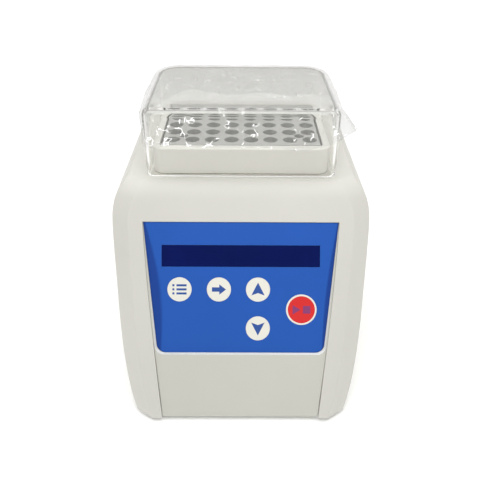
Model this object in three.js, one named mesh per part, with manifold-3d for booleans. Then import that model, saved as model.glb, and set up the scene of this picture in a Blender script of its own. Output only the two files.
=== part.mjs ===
// A bench-top heated mixing block: a slant-fronted moulded housing with a keypad and display, an
// aluminium block with forty tube wells that a motor moves in a small circle, and a clear lift-off lid.
//
// Millimetres, +Z up, +X to the right seen from the front, front towards -Y. The origin is on the floor
// under the middle of the body. Inside the body frame, y is the distance back from the bottom front
// edge and z is the height above the body's underside.
import * as THREE from 'three';
import { mergeVertices } from 'three/addons/utils/BufferGeometryUtils.js';
import Module from 'manifold-3d';

const wasm = await Module();
wasm.setup();

// ---- Driving dimensions ----
const DEG = Math.PI / 180;
const GAP = 0.3; // clearance between pieces that rest on each other
const EPS = 1; // how far a cutter reaches past the face it cuts
const MERGE = 1e-4; // vertices closer than this are one

// Housing
const BODY_DEPTH = 260;
const DECK_Z = 142;
const FOOT_HEIGHT = 3;
const WALL = 3;
const FRONT_LEAN = 33.5 * DEG; // the front face's lean back from the vertical
const DECK_FRONT_RADIUS = 20;
const DECK_BACK_RADIUS = 10;
const CORNER_CHAMFER_X = 13;
const CORNER_CHAMFER_Y = 9;
const BACK_CORNER_RADIUS = 14;
const BASE_HALF_WIDTH = 77;
const FLARE_BOW = 87.3; // the control point of the curve from the base to the flare
const FLARE_HALF_WIDTH = 91.6;
const FLARE_Z = 72;
const WIDEST_HALF_WIDTH = 95.9;
const WIDEST_Z = 115;
const DECK_HALF_WIDTH = 85;
const SHOULDER_BOW = { out: 1.3, drop: 9.2 }; // the control point of the curve into the deck

// Front opening, fascia and keypad, along the slanted front face
const OPENING_TOP = 143.3; // distance up the slope from the bottom edge
const OPENING_TOP_HALF = 72.1;
const OPENING_BOW_HALF = 69.4; // the control point of its bowed sides
const OPENING_BOW_DROP = 48;
const OPENING_BOTTOM_HALF = 57;
const OPENING_TAIL = 10;
const FASCIA_GAP = 0.5; // dark line between fascia and rails
const FASCIA_SINK = 1.2; // fascia's face behind the rails' face
const FASCIA_BACK = 7;
const PANEL_TOP = 143;
const PANEL_SINK = 0.3; // keypad's face behind the rails at its top edge
const PANEL_TILT = 1.65 * DEG; // the keypad sinks deeper towards its bottom edge
const PANEL_HEIGHT = 95.6;
const PANEL_TOP_HALF = 71.7;
const PANEL_BOTTOM_HALF = 61;
const PANEL_CORNER = 6.5;
const PANEL_THICK = 1.2;
const WINDOW = { width: 115.8, height: 15.6, drop: 24.6, sink: 0.2 };
const KEY_RADIUS = 8.65;
const START_KEY_RADIUS = 11.05;
const KEY_THICK = 1;
const KEY_PROUD = 0.2;
const KEY_STEM = 7.5;
const KEYS = {
  key_program: { x: -44.9, drop: 49.2, radius: KEY_RADIUS },
  key_right: { x: -16, drop: 49.2, radius: KEY_RADIUS },
  key_up: { x: 12.7, drop: 49.2, radius: KEY_RADIUS },
  key_down: { x: 12.7, drop: 77.8, radius: KEY_RADIUS },
  key_start_stop: { x: 44.6, drop: 63.9, radius: START_KEY_RADIUS },
};

// Tube block and its stack, centred on BLOCK_Y
const BLOCK_Y = 163;
const BLOCK = { width: 120, depth: 80, bottom: 121.8, top: 161.5 };
const WELL_RADIUS = 5.4;
const WELL_DEPTH = 35;
const WELL_PITCH = 15;
const WELL_COLUMNS = 8;
const WELL_ROWS = 5;
const WELL_SIDES = 8;
const BLOCK_SCREW = { x: 45, y: 22.5, hole: 2.2, bore: 3.7, boreDepth: 10 };
const SURROUND = {
  width: 133, depth: 100, top: 162, frontCorner: 9, backCorner: 16, wall: 3.5, roof: 3,
  mouthGap: 2.5, mouthCorner: 3,
};
const LID = { width: 143, depth: 112, top: 193.5, wall: 2.5, frontCorner: 7, backCorner: 20, edge: 6 };
const LEAST_LID_CORNER = 1.5; // its inner edges keep this much rounding

// Heater stack between the platform and the block
const PLATE = { width: 120, depth: 80, z: [115.5, 121.5], screwDepth: 4.7 };
const MAT = { width: 112, depth: 72, z: [114, 115.2] };
const SLAB = { width: 118, depth: 78, top: 113.7 };
const PROBE = { radius: 1.3, z: 118.5, inner: 20, outer: 41 }; // inner and outer: distance behind the middle

// Orbital drive
const ORBIT = 1; // crank throw
const CRANK_Y = BLOCK_Y - ORBIT;
const CHASSIS = { z: 80, thick: 3, half: 70, reach: 54, shaftHole: 6 };
const PLATFORM = { z: 102, thick: 5, width: 124, depth: 84, bossRadius: 13, bossDepth: 9.5, idlerBoss: 6 };
const BEARING = { radius: 9, seat: 9.4, z: [PLATFORM.z - 8.5, PLATFORM.z - 2] };
const CRANK = { shaft: 3, disc: 14, discThick: 4, pin: 4, bottom: 50, z: CHASSIS.z + CHASSIS.thick + 1 };
const WEIGHT = { inner: 14.3, outer: 26, thick: 7, start: 200 * DEG, end: 340 * DEG };
const MOTOR = { body: 24, cap: 19, neck: 12, bore: 3.4, capZ: 38, bodyZ: 44 };
const IDLER = { x: 48, y: 30, pin: 2, journal: 3, disc: 6, discThick: 3, bottom: 74, pinGap: 0.4 };
const STANDOFF = { x: 62, y: 46, radius: 4, sides: 6 };

// Rear connections, in the back wall's opening
const REAR_Y = BODY_DEPTH - WALL; // inner face of the back wall
const REAR_Z = 43;
const REAR_OPENING = { half: 58, low: 14, high: 72 };
const REAR_PLATE = { half: 64, low: 8, high: 78, y: [REAR_Y - 2.3, REAR_Y - GAP] };
const REAR_SCREW = { x: 61, low: 11, high: 75, hole: 1.7, head: 2.7, sink: 1.6 };
const REAR_FLANGE_Y = [REAR_Y, REAR_Y + 2];
const FAN = { x: -34, size: 40, depth: 11, bore: 18.6, hub: 8, blades: 7 };
const GRILLE = { radius: 18, slots: 6, pitch: 6, slotHalf: 1.6 };
const SWITCH = { x: 2, width: 13, height: 19, rim: 1.5, wall: 1, back: REAR_Y - 17, floor: REAR_Y - 12 };
const ROCKER = {
  half: 5.1, reach: 7.4, tilt: 9 * DEG, pivotY: REAR_Y - 3, back: -3, valley: 3.2, ridge: 4.4,
};
const INLET = { x: 36, width: 29, low: REAR_Z - 18, high: REAR_Z + 16, rim: 2, back: REAR_Y - 26 };
const SOCKET = { half: 12.3, low: REAR_Z - 3.5, high: REAR_Z + 13, depth: 17 };
const DRAWER = { half: 11.5, low: REAR_Z - 15, high: REAR_Z - 7, depth: 22, wall: 1.5 };
const BLADE = { halfWidth: 1, halfHeight: 2, spread: 7, raise: 2.5, drop: 1.5, sunk: 3, tail: 6 };

// ---- Solids from three.js geometry ----
const around = (middle, half) => [middle - half, middle + half];
const past = ([low, high]) => [low - EPS, high + EPS]; // a range as its cutter needs it

function toSolid(geometry) {
  const bare = new THREE.BufferGeometry();
  bare.setAttribute('position', geometry.getAttribute('position'));
  if (geometry.index) bare.setIndex(geometry.index);
  const merged = mergeVertices(bare, MERGE);
  const vertProperties = new Float32Array(merged.getAttribute('position').array);
  const triVerts = new Uint32Array(merged.index.array);
  return new wasm.Manifold(new wasm.Mesh({ numProp: 3, vertProperties, triVerts }));
}

function toGeometry(manifold) {
  const mesh = manifold.getMesh();
  const geometry = new THREE.BufferGeometry();
  geometry.setAttribute('position', new THREE.BufferAttribute(mesh.vertProperties, 3));
  geometry.setIndex(new THREE.BufferAttribute(mesh.triVerts, 1));
  geometry.computeVertexNormals();
  return geometry;
}

const join = (first, ...others) => others.reduce((whole, piece) => whole.add(piece), first);
const cut = (first, ...others) => others.reduce((whole, piece) => whole.subtract(piece), first);

// An upright box between limits on each axis
function box([x0, x1], [y0, y1], [z0, z1]) {
  const geometry = new THREE.BoxGeometry(x1 - x0, y1 - y0, z1 - z0);
  return toSolid(geometry.translate((x0 + x1) / 2, (y0 + y1) / 2, (z0 + z1) / 2));
}

// A round rod standing on z0
function rod(radius, [z0, z1], x = 0, y = 0, sides = 24) {
  const geometry = new THREE.CylinderGeometry(radius, radius, z1 - z0, sides);
  return toSolid(geometry.rotateX(Math.PI / 2).translate(x, y, (z0 + z1) / 2));
}

// A rod whose axis runs front to back
function rodAlongY(radius, [y0, y1], x, z, sides = 24) {
  const geometry = new THREE.CylinderGeometry(radius, radius, y1 - y0, sides);
  return toSolid(geometry.translate(x, (y0 + y1) / 2, z));
}

function prism(shape, [z0, z1], curveSegments = 4) {
  const settings = { depth: z1 - z0, bevelEnabled: false, curveSegments };
  return toSolid(new THREE.ExtrudeGeometry(shape, settings).translate(0, 0, z0));
}

function polygon(points) {
  return new THREE.Shape(points.map(([x, y]) => new THREE.Vector2(x, y)));
}

// A rectangle whose front and back corners may have different radii
function roundedRectangle(width, depth, frontRadius, backRadius = frontRadius, y = 0) {
  const right = width / 2;
  const front = y - depth / 2;
  const back = y + depth / 2;
  const shape = new THREE.Shape();
  shape.moveTo(-right + frontRadius, front);
  shape.lineTo(right - frontRadius, front);
  shape.absarc(right - frontRadius, front + frontRadius, frontRadius, -Math.PI / 2, 0);
  shape.absarc(right - backRadius, back - backRadius, backRadius, 0, Math.PI / 2);
  shape.absarc(-right + backRadius, back - backRadius, backRadius, Math.PI / 2, Math.PI);
  shape.absarc(-right + frontRadius, front + frontRadius, frontRadius, Math.PI, Math.PI * 1.5);
  return shape;
}

// A solid through a stack of level outlines that all have the same number of points
function loft(outlines) {
  const count = outlines[0].length;
  const positions = outlines.flat().flatMap((point) => [point.x, point.y, point.z]);
  const index = [];
  for (let level = 0; level < outlines.length - 1; level += 1) {
    for (let i = 0; i < count; i += 1) {
      const a = level * count + i;
      const b = level * count + ((i + 1) % count);
      index.push(a, b, b + count, a, b + count, a + count);
    }
  }
  const flat = (outline) => outline.map((point) => new THREE.Vector2(point.x, point.y));
  const top = (outlines.length - 1) * count;
  for (const [a, b, c] of THREE.ShapeUtils.triangulateShape(flat(outlines[0]), [])) index.push(a, c, b);
  for (const [a, b, c] of THREE.ShapeUtils.triangulateShape(flat(outlines.at(-1)), [])) {
    index.push(top + a, top + b, top + c);
  }
  const geometry = new THREE.BufferGeometry();
  geometry.setAttribute('position', new THREE.Float32BufferAttribute(positions, 3));
  geometry.setIndex(index);
  return toSolid(geometry);
}

// ---- Frames and materials ----
const object = new THREE.Group();
object.position.set(0, -BODY_DEPTH / 2, FOOT_HEIGHT);

const slopeMatrix = new THREE.Matrix4().makeRotationX(Math.PI / 2 - FRONT_LEAN);
const panelMatrix = slopeMatrix.clone()
  .multiply(new THREE.Matrix4().makeTranslation(0, PANEL_TOP, -PANEL_SINK))
  .multiply(new THREE.Matrix4().makeRotationX(PANEL_TILT));
const slope = new THREE.Group(); // x across, y up the slanted front face, z out of it
slope.applyMatrix4(slopeMatrix);
const panel = new THREE.Group(); // the same on the keypad, from its top edge
panel.applyMatrix4(panelMatrix);
object.add(slope, panel);

const inBody = (manifold, matrix) => toSolid(toGeometry(manifold).applyMatrix4(matrix));
const fromPanelToSlope = slopeMatrix.clone().invert().multiply(panelMatrix);

const finish = (color, roughness, metalness = 0) =>
  new THREE.MeshStandardMaterial({ color, roughness, metalness });
const WHITE_PLASTIC = () => finish('#dedcd6', 0.45);
const DARK_PLASTIC = () => finish('#26282b', 0.5);
const STEEL = () => finish('#a9abad', 0.35, 1);
const ALUMINIUM = () => finish('#b8b8b6', 0.4, 1);
const RUBBER = () => finish('#2c2c2c', 0.9);
const BOARD_GREEN = () => finish('#1f5b3a', 0.6);

function addPiece(name, manifold, material, parent = object) {
  const mesh = new THREE.Mesh(toGeometry(manifold), material);
  mesh.name = name;
  parent.add(mesh);
}

const atCorners = (x, y, centreY, make) => {
  const signs = [[-1, -1], [1, -1], [-1, 1], [1, 1]];
  signs.forEach(([sx, sy], i) => make(sx * x, centreY + sy * y, i + 1));
};

// ---- Housing ----
// Half-width of the body against height: flared at the foot, leaning out, rounded into the deck
const sidePath = new THREE.Path();
sidePath.moveTo(BASE_HALF_WIDTH, 0);
sidePath.quadraticCurveTo(FLARE_BOW, FLARE_Z / 3, FLARE_HALF_WIDTH, FLARE_Z);
sidePath.lineTo(WIDEST_HALF_WIDTH, WIDEST_Z);
sidePath.quadraticCurveTo(
  WIDEST_HALF_WIDTH + SHOULDER_BOW.out, DECK_Z - SHOULDER_BOW.drop, DECK_HALF_WIDTH, DECK_Z,
);
const sidePoints = sidePath.getPoints(24);

function halfWidthAt(z) {
  const next = sidePoints.findIndex((point) => point.y >= z);
  if (next <= 0) return BASE_HALF_WIDTH;
  const low = sidePoints[next - 1];
  const high = sidePoints[next];
  return THREE.MathUtils.mapLinear(z, low.y, high.y, low.x, high.x);
}

// Where the slanted front turns into the deck: a quarter-turn less the lean, about this centre
const turn = DECK_FRONT_RADIUS * Math.tan((Math.PI / 2 - FRONT_LEAN) / 2);
const FRONT_ARC_Y = DECK_Z * Math.tan(FRONT_LEAN) + turn;
const FRONT_ARC_Z = DECK_Z - DECK_FRONT_RADIUS;
const FRONT_ARC_STEPS = 5;
const SLOPE_LEVELS = [0, 7, 15, 26, 45, FLARE_Z, 96, WIDEST_Z, 125];

// One level outline of the housing, inset for its inner face
function housingOutline(z, frontY, halfWidth, inset) {
  const centreZ = DECK_Z - DECK_BACK_RADIUS;
  const radius = DECK_BACK_RADIUS - inset;
  const rise = THREE.MathUtils.clamp(z - centreZ, 0, radius);
  const backY = BODY_DEPTH - DECK_BACK_RADIUS + Math.sqrt(radius ** 2 - rise ** 2);
  const corner = BACK_CORNER_RADIUS - inset;
  const points = [
    [-halfWidth + CORNER_CHAMFER_X, frontY],
    [halfWidth - CORNER_CHAMFER_X, frontY],
    [halfWidth, frontY + CORNER_CHAMFER_Y],
  ];
  const cornerSteps = 4;
  for (const side of [1, -1]) {
    for (let i = 0; i <= cornerSteps; i += 1) {
      const angle = (side === 1 ? i : cornerSteps - i) / cornerSteps * Math.PI / 2;
      const x = side * (halfWidth - corner + corner * Math.cos(angle));
      points.push([x, backY - corner + corner * Math.sin(angle)]);
    }
  }
  points.push([-halfWidth, frontY + CORNER_CHAMFER_Y]);
  return points.map(([x, y]) => new THREE.Vector3(x, y, z));
}

function housingSolid(inset, bottomZ) {
  const outlines = [];
  for (const level of SLOPE_LEVELS) {
    const z = level === 0 ? bottomZ : level;
    const frontY = z * Math.tan(FRONT_LEAN) + inset / Math.cos(FRONT_LEAN);
    outlines.push(housingOutline(z, frontY, halfWidthAt(level) - inset, inset));
  }
  const radius = DECK_FRONT_RADIUS - inset;
  for (let i = 0; i <= FRONT_ARC_STEPS; i += 1) {
    const angle = THREE.MathUtils.lerp(FRONT_LEAN, Math.PI / 2, i / FRONT_ARC_STEPS);
    const frontY = FRONT_ARC_Y - radius * Math.cos(angle);
    const outerZ = FRONT_ARC_Z + DECK_FRONT_RADIUS * Math.sin(angle);
    const z = FRONT_ARC_Z + radius * Math.sin(angle);
    outlines.push(housingOutline(z, frontY, halfWidthAt(outerZ) - inset, inset));
  }
  return loft(outlines);
}

// The front opening, bowed a little outwards, carried on below the bottom edge by a tail
function openingShape(inset, tail) {
  const top = OPENING_TOP - inset;
  const bowHalf = OPENING_BOW_HALF - inset;
  const bowY = OPENING_TOP - OPENING_BOW_DROP;
  const topHalf = OPENING_TOP_HALF - inset;
  const bottomHalf = OPENING_BOTTOM_HALF - inset;
  const shape = new THREE.Shape();
  shape.moveTo(-bottomHalf, -tail);
  shape.lineTo(bottomHalf, -tail);
  shape.lineTo(bottomHalf, 0);
  shape.quadraticCurveTo(bowHalf, bowY, topHalf, top);
  shape.lineTo(-topHalf, top);
  shape.quadraticCurveTo(-bowHalf, bowY, -bottomHalf, 0);
  return shape;
}

const DECK_OPENING = { width: BLOCK.width + 8, depth: BLOCK.depth + 8, corner: 4 };

function upperHousing() {
  const deckShape = roundedRectangle(
    DECK_OPENING.width, DECK_OPENING.depth, DECK_OPENING.corner, DECK_OPENING.corner, BLOCK_Y,
  );
  let solid = cut(
    housingSolid(0, 0),
    housingSolid(WALL, -EPS),
    inBody(prism(openingShape(0, OPENING_TAIL), [-WALL * 3, WALL * 3], 5), slopeMatrix),
    prism(deckShape, [DECK_Z - 2 * WALL, DECK_Z + EPS], 2),
    box(
      around(0, REAR_OPENING.half), [REAR_Y - EPS, BODY_DEPTH + EPS],
      [REAR_OPENING.low, REAR_OPENING.high],
    ),
  );
  for (const x of [-REAR_SCREW.x, REAR_SCREW.x]) {
    for (const z of [REAR_SCREW.low, REAR_SCREW.high]) {
      solid = cut(
        solid,
        rodAlongY(REAR_SCREW.hole, [REAR_Y - EPS, BODY_DEPTH + EPS], x, z, 12),
        rodAlongY(REAR_SCREW.head, [BODY_DEPTH - REAR_SCREW.sink, BODY_DEPTH + EPS], x, z, 12),
      );
    }
  }
  return solid;
}
addPiece('upper_housing', upperHousing(), WHITE_PLASTIC());

// ---- Base ----
const PAN = {
  thick: 2.5, half: 72.8, front: 10.6, back: REAR_Y - GAP, frontChamfer: [4.4, 3.5], backChamfer: 12,
};
const PAN_FLANGE = { thick: 2, top: 10, y: [24, 240] };
const PAN_VENTS = { rows: 5, pitch: 9, firstY: 136, width: 3.5, x: 26, half: 20 };
const FOOT = { x: 58, frontY: 26, backY: 234, radius: 8, draft: 1, hole: 1.8, sink: 1.5, sinkRadius: 3.6 };
const FOOT_SCREW = { head: 3, headThick: 1, shank: 1.5, top: 8 };
const SKIN = 0.1; // air between a rubber foot and the pan
const footCentreY = (FOOT.frontY + FOOT.backY) / 2;
const footSpanY = (FOOT.backY - FOOT.frontY) / 2;

function basePan() {
  const { half, front, back, thick, frontChamfer, backChamfer } = PAN;
  const [chamferX, chamferY] = frontChamfer;
  const right = [
    [half - chamferX, front], [half, front + chamferY],
    [half, back - backChamfer], [half - backChamfer, back],
  ];
  const left = right.map(([x, y]) => [-x, y]).reverse();
  let solid = prism(polygon([...right, ...left]), [0, thick]);
  for (const side of [-1, 1]) {
    const flangeX = around(side * (half - PAN_FLANGE.thick / 2), PAN_FLANGE.thick / 2);
    solid = join(solid, box(flangeX, PAN_FLANGE.y, [thick / 2, PAN_FLANGE.top]));
  }
  for (let row = 0; row < PAN_VENTS.rows; row += 1) {
    const y = PAN_VENTS.firstY + row * PAN_VENTS.pitch;
    for (const x of [-PAN_VENTS.x, PAN_VENTS.x]) {
      solid = cut(solid, box(around(x, PAN_VENTS.half), [y, y + PAN_VENTS.width], past([0, thick])));
    }
  }
  atCorners(FOOT.x, footSpanY, footCentreY, (x, y) => {
    solid = cut(solid, rod(FOOT.hole, past([0, thick]), x, y, 12));
  });
  return solid;
}
addPiece('base_pan', basePan(), finish('#c9c8c2', 0.5));

atCorners(FOOT.x, footSpanY, footCentreY, (x, y, number) => {
  const profile = [
    [FOOT.hole, -FOOT.sink], [FOOT.sinkRadius, -FOOT.sink], [FOOT.sinkRadius, -FOOT_HEIGHT],
    [FOOT.radius - FOOT.draft, -FOOT_HEIGHT], [FOOT.radius, -SKIN],
    [FOOT.hole, -SKIN], [FOOT.hole, -FOOT.sink],
  ];
  const foot = new THREE.LatheGeometry(profile.map(([r, z]) => new THREE.Vector2(r, z)), 16);
  addPiece(`foot_${number}`, toSolid(foot.rotateX(Math.PI / 2).translate(x, y, 0)), RUBBER());
  const headTop = -FOOT.sink - 2 * SKIN;
  const head = rod(FOOT_SCREW.head, [headTop - FOOT_SCREW.headThick, headTop], x, y, 16);
  const shank = rod(FOOT_SCREW.shank, [headTop - FOOT_SCREW.headThick / 2, FOOT_SCREW.top], x, y, 12);
  addPiece(`foot_screw_${number}`, join(head, shank), STEEL());
});

// ---- Fascia, keypad and display ----
const KEY_HOLE = 3.2; // for a key's stem, in the fascia
const STEM_RADIUS = 2.5;
const WINDOW_LEDGE = { side: 2, end: 1.5 }; // the fascia carries the window's rim
const FASCIA_FLOOR = 0.9; // the fascia's bottom edge over the body's underside

// The keypad's outline: narrower at the bottom, where its corners are round
function panelShape(grow) {
  const bottom = -PANEL_HEIGHT - grow;
  const topHalf = PANEL_TOP_HALF + grow;
  const bottomHalf = PANEL_BOTTOM_HALF + grow;
  const sideLean = (topHalf - bottomHalf) / PANEL_HEIGHT;
  const cornerHalf = bottomHalf + sideLean * PANEL_CORNER;
  const shape = new THREE.Shape();
  shape.moveTo(-topHalf, grow);
  shape.lineTo(-cornerHalf, bottom + PANEL_CORNER);
  shape.quadraticCurveTo(-bottomHalf, bottom, -bottomHalf + PANEL_CORNER, bottom);
  shape.lineTo(bottomHalf - PANEL_CORNER, bottom);
  shape.quadraticCurveTo(bottomHalf, bottom, cornerHalf, bottom + PANEL_CORNER);
  shape.lineTo(topHalf, grow);
  return shape;
}

// A box over the display window, grown on every side
function windowBox(growX, growY, z) {
  return box(around(0, WINDOW.width / 2 + growX), around(-WINDOW.drop, WINDOW.height / 2 + growY), z);
}

function frontFascia() {
  const through = [-3 * FASCIA_BACK, EPS];
  let cutters = join(
    prism(panelShape(GAP), [-PANEL_THICK - GAP, FASCIA_BACK], 4),
    windowBox(-WINDOW_LEDGE.side, -WINDOW_LEDGE.end, through),
  );
  for (const { x, drop } of Object.values(KEYS)) {
    cutters = join(cutters, rod(KEY_HOLE, through, x, -drop, 12));
  }
  const belowBody = box(around(0, BODY_DEPTH / 2), around(0, PANEL_HEIGHT), [-PANEL_HEIGHT, FASCIA_FLOOR]);
  return cut(
    prism(openingShape(FASCIA_GAP, OPENING_TAIL), [-FASCIA_BACK, -FASCIA_SINK], 5),
    inBody(cutters, fromPanelToSlope),
    inBody(belowBody, slopeMatrix.clone().invert()),
  );
}
addPiece('front_fascia', frontFascia(), WHITE_PLASTIC(), slope);

function controlOverlay() {
  const through = past([-PANEL_THICK, 0]);
  let solid = cut(prism(panelShape(0), [-PANEL_THICK, 0], 4), windowBox(GAP, GAP, through));
  for (const { x, drop, radius } of Object.values(KEYS)) {
    solid = cut(solid, rod(radius + GAP, through, x, -drop, 32));
  }
  return solid;
}
addPiece('control_overlay', controlOverlay(), finish('#325eb5', 0.35), panel);
addPiece('lcd_window', windowBox(0, 0, [-PANEL_THICK, -WINDOW.sink]), finish('#151f52', 0.1), panel);

for (const [name, { x, drop, radius }] of Object.entries(KEYS)) {
  const cap = rod(radius, [KEY_PROUD - KEY_THICK, KEY_PROUD], x, -drop, 32);
  const stem = rod(STEM_RADIUS, [-KEY_STEM, 0], x, -drop, 12);
  const color = name === 'key_start_stop' ? '#e83d38' : '#e8e8e2';
  addPiece(name, join(cap, stem), finish(color, 0.4), panel);
}

// Display module and key board, behind the fascia, by distance up the slope and out of it
const DISPLAY_BOARD = { half: 62, tall: 17, z: [-16, -14.4] };
const DISPLAY_GLASS = { half: 60, tall: 12, z: [-15, -FASCIA_BACK - GAP] };
const lcdUp = PANEL_TOP - WINDOW.drop;
const lcdModule = join(
  box(around(0, DISPLAY_BOARD.half), around(lcdUp, DISPLAY_BOARD.tall), DISPLAY_BOARD.z),
  box(around(0, DISPLAY_GLASS.half), around(lcdUp, DISPLAY_GLASS.tall), DISPLAY_GLASS.z),
);
addPiece('lcd_module', lcdModule, DARK_PLASTIC(), slope);

const KEY_BOARD = { half: 62, up: [54, 99], z: [-14, -12.4] };
const KEY_SWITCH = { radius: 3, z: [-13, -11.3] };
const KEY_BOARD_CHIPS = { z: [-13, -10.8], places: [[[-30, -14], [62, 72]], [[20, 34], [84, 94]]] };

function controlBoard() {
  let solid = box(around(0, KEY_BOARD.half), KEY_BOARD.up, KEY_BOARD.z);
  for (const { x, drop } of Object.values(KEYS)) {
    solid = join(solid, rod(KEY_SWITCH.radius, KEY_SWITCH.z, x, PANEL_TOP - drop, 12));
  }
  for (const [x, up] of KEY_BOARD_CHIPS.places) solid = join(solid, box(x, up, KEY_BOARD_CHIPS.z));
  return solid;
}
addPiece('control_board', controlBoard(), BOARD_GREEN(), slope);

// ---- Block surround and lid ----
function blockSurround() {
  const { width, depth, frontCorner, backCorner, wall, top, roof, mouthGap, mouthCorner } = SURROUND;
  const outline = (inset) => roundedRectangle(
    width - 2 * inset, depth - 2 * inset, frontCorner - inset, backCorner - inset, BLOCK_Y,
  );
  const mouth = roundedRectangle(
    BLOCK.width + 2 * mouthGap, BLOCK.depth + 2 * mouthGap, mouthCorner, mouthCorner, BLOCK_Y,
  );
  return cut(
    prism(outline(0), [DECK_Z + GAP, top], 5),
    prism(outline(wall), [DECK_Z, top - roof], 3),
    prism(mouth, [DECK_Z, top + EPS], 2),
  );
}
addPiece('block_surround', blockSurround(), WHITE_PLASTIC());

// Outline of the lid at one level, inset from its outer walls
function lidOutline(z, inset) {
  const front = Math.max(LID.frontCorner - inset, LEAST_LID_CORNER);
  const back = Math.max(LID.backCorner - inset, LEAST_LID_CORNER);
  const shape = roundedRectangle(LID.width - 2 * inset, LID.depth - 2 * inset, front, back, BLOCK_Y);
  return shape.getPoints(5).slice(0, -1).map(({ x, y }) => new THREE.Vector3(x, y, z));
}

function lidSolid(inset, bottom, top, edge) {
  const outlines = [lidOutline(bottom, inset)];
  const steps = 4;
  for (let i = 0; i <= steps; i += 1) {
    const angle = (i / steps) * Math.PI / 2;
    outlines.push(lidOutline(top - edge + edge * Math.sin(angle), inset + edge * (1 - Math.cos(angle))));
  }
  return loft(outlines);
}
const lid = cut(
  lidSolid(0, DECK_Z + GAP, LID.top, LID.edge),
  lidSolid(LID.wall, DECK_Z - EPS, LID.top - LID.wall, LID.edge - LID.wall),
);
addPiece('lid', lid, finish('#e6ebea', 0.1));

// ---- Tube block, heater and moving platform ----
// A plain slab centred on the block
const slab = (width, depth, z) => box(around(0, width / 2), around(BLOCK_Y, depth / 2), z);
const atBlockScrews = (make) => atCorners(BLOCK_SCREW.x, BLOCK_SCREW.y, BLOCK_Y, make);

function tubeBlock() {
  const { width, depth, bottom, top } = BLOCK;
  let solid = slab(width, depth, [bottom, top]);
  for (let row = 0; row < WELL_ROWS; row += 1) {
    for (let column = 0; column < WELL_COLUMNS; column += 1) {
      const x = (column - (WELL_COLUMNS - 1) / 2) * WELL_PITCH;
      const y = BLOCK_Y + (row - (WELL_ROWS - 1) / 2) * WELL_PITCH;
      solid = cut(solid, rod(WELL_RADIUS, [top - WELL_DEPTH, top + EPS], x, y, WELL_SIDES));
    }
  }
  atBlockScrews((x, y) => {
    const hole = rod(BLOCK_SCREW.hole, [bottom - EPS, top], x, y, 8);
    solid = cut(solid, hole, rod(BLOCK_SCREW.bore, [top - BLOCK_SCREW.boreDepth, top + EPS], x, y, 12));
  });
  return solid;
}
addPiece('tube_block', tubeBlock(), ALUMINIUM());

const SCREW_HEAD = { radius: 3.2, thick: 3.2, socket: 1.4, socketFloor: 1.4, shank: 1.8, end: 117.5 };
atBlockScrews((x, y, number) => {
  const seat = BLOCK.top - BLOCK_SCREW.boreDepth + GAP;
  const head = rod(SCREW_HEAD.radius, [seat, seat + SCREW_HEAD.thick], x, y, 16);
  const shank = rod(SCREW_HEAD.shank, [SCREW_HEAD.end, seat + EPS], x, y, 8);
  const socketZ = [seat + SCREW_HEAD.socketFloor, seat + SCREW_HEAD.thick + EPS];
  addPiece(`block_screw_${number}`, cut(join(head, shank), rod(SCREW_HEAD.socket, socketZ, x, y, 6)), STEEL());
});

const PROBE_Y = [BLOCK_Y + PROBE.inner, BLOCK_Y + PROBE.outer];
function heaterPlate() {
  let solid = slab(PLATE.width, PLATE.depth, PLATE.z);
  atBlockScrews((x, y) => {
    solid = cut(solid, rod(BLOCK_SCREW.hole, [PLATE.z[1] - PLATE.screwDepth, PLATE.z[1] + EPS], x, y, 8));
  });
  return cut(solid, rodAlongY(PROBE.radius + GAP, PROBE_Y, 0, PROBE.z, 12));
}
addPiece('heater_plate', heaterPlate(), ALUMINIUM());
const probeY = PROBE_Y.map((y) => y + GAP);
addPiece('temperature_probe', rodAlongY(PROBE.radius, probeY, 0, PROBE.z, 12), STEEL());
addPiece('heater_mat', slab(MAT.width, MAT.depth, MAT.z), finish('#b4532a', 0.7));
const slabZ = [PLATFORM.z + PLATFORM.thick + GAP, SLAB.top];
addPiece('insulation_slab', slab(SLAB.width, SLAB.depth, slabZ), finish('#d9d4c4', 0.9));

function shakerPlatform() {
  const { z, thick, width, depth, bossRadius, bossDepth, idlerBoss } = PLATFORM;
  const boss = rod(bossRadius, [z - bossDepth, z + EPS], 0, BLOCK_Y);
  let solid = join(slab(width, depth, [z, z + thick]), boss);
  const seatTop = BEARING.z[1] + 0.5;
  solid = cut(solid, rod(BEARING.seat, [z - bossDepth - EPS, seatTop], 0, BLOCK_Y));
  atCorners(IDLER.x, IDLER.y, BLOCK_Y, (x, y) => {
    solid = join(solid, rod(idlerBoss, [z - thick, z + EPS], x, y, 16));
    solid = cut(solid, rod(IDLER.pin + IDLER.pinGap, [z - thick - EPS, z + 2], x, y, 16));
  });
  return solid;
}
addPiece('shaker_platform', shakerPlatform(), ALUMINIUM());

const pinBearing = cut(
  rod(BEARING.radius, BEARING.z, 0, BLOCK_Y),
  rod(CRANK.pin + SKIN, past(BEARING.z), 0, BLOCK_Y),
);
addPiece('pin_bearing', pinBearing, STEEL());

// ---- Orbital drive ----
const discTop = CRANK.z + CRANK.discThick;
const crankShaft = join(
  rod(CRANK.shaft, [CRANK.bottom, CRANK.z + EPS], 0, CRANK_Y),
  rod(CRANK.disc, [CRANK.z, discTop], 0, CRANK_Y),
  rod(CRANK.pin, [discTop - EPS, BEARING.z[1] + 0.2], 0, BLOCK_Y),
);
addPiece('crank_shaft', crankShaft, STEEL());

// A part ring on the side away from the crank pin
function counterweight() {
  const { inner, outer, thick, start, end } = WEIGHT;
  const shape = new THREE.Shape();
  shape.absarc(0, CRANK_Y, outer, start, end, false);
  shape.absarc(0, CRANK_Y, inner, end, start, true);
  return prism(shape, [CRANK.z, CRANK.z + thick], 10);
}
addPiece('counterweight', counterweight(), finish('#b08d4a', 0.35, 1));

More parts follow.
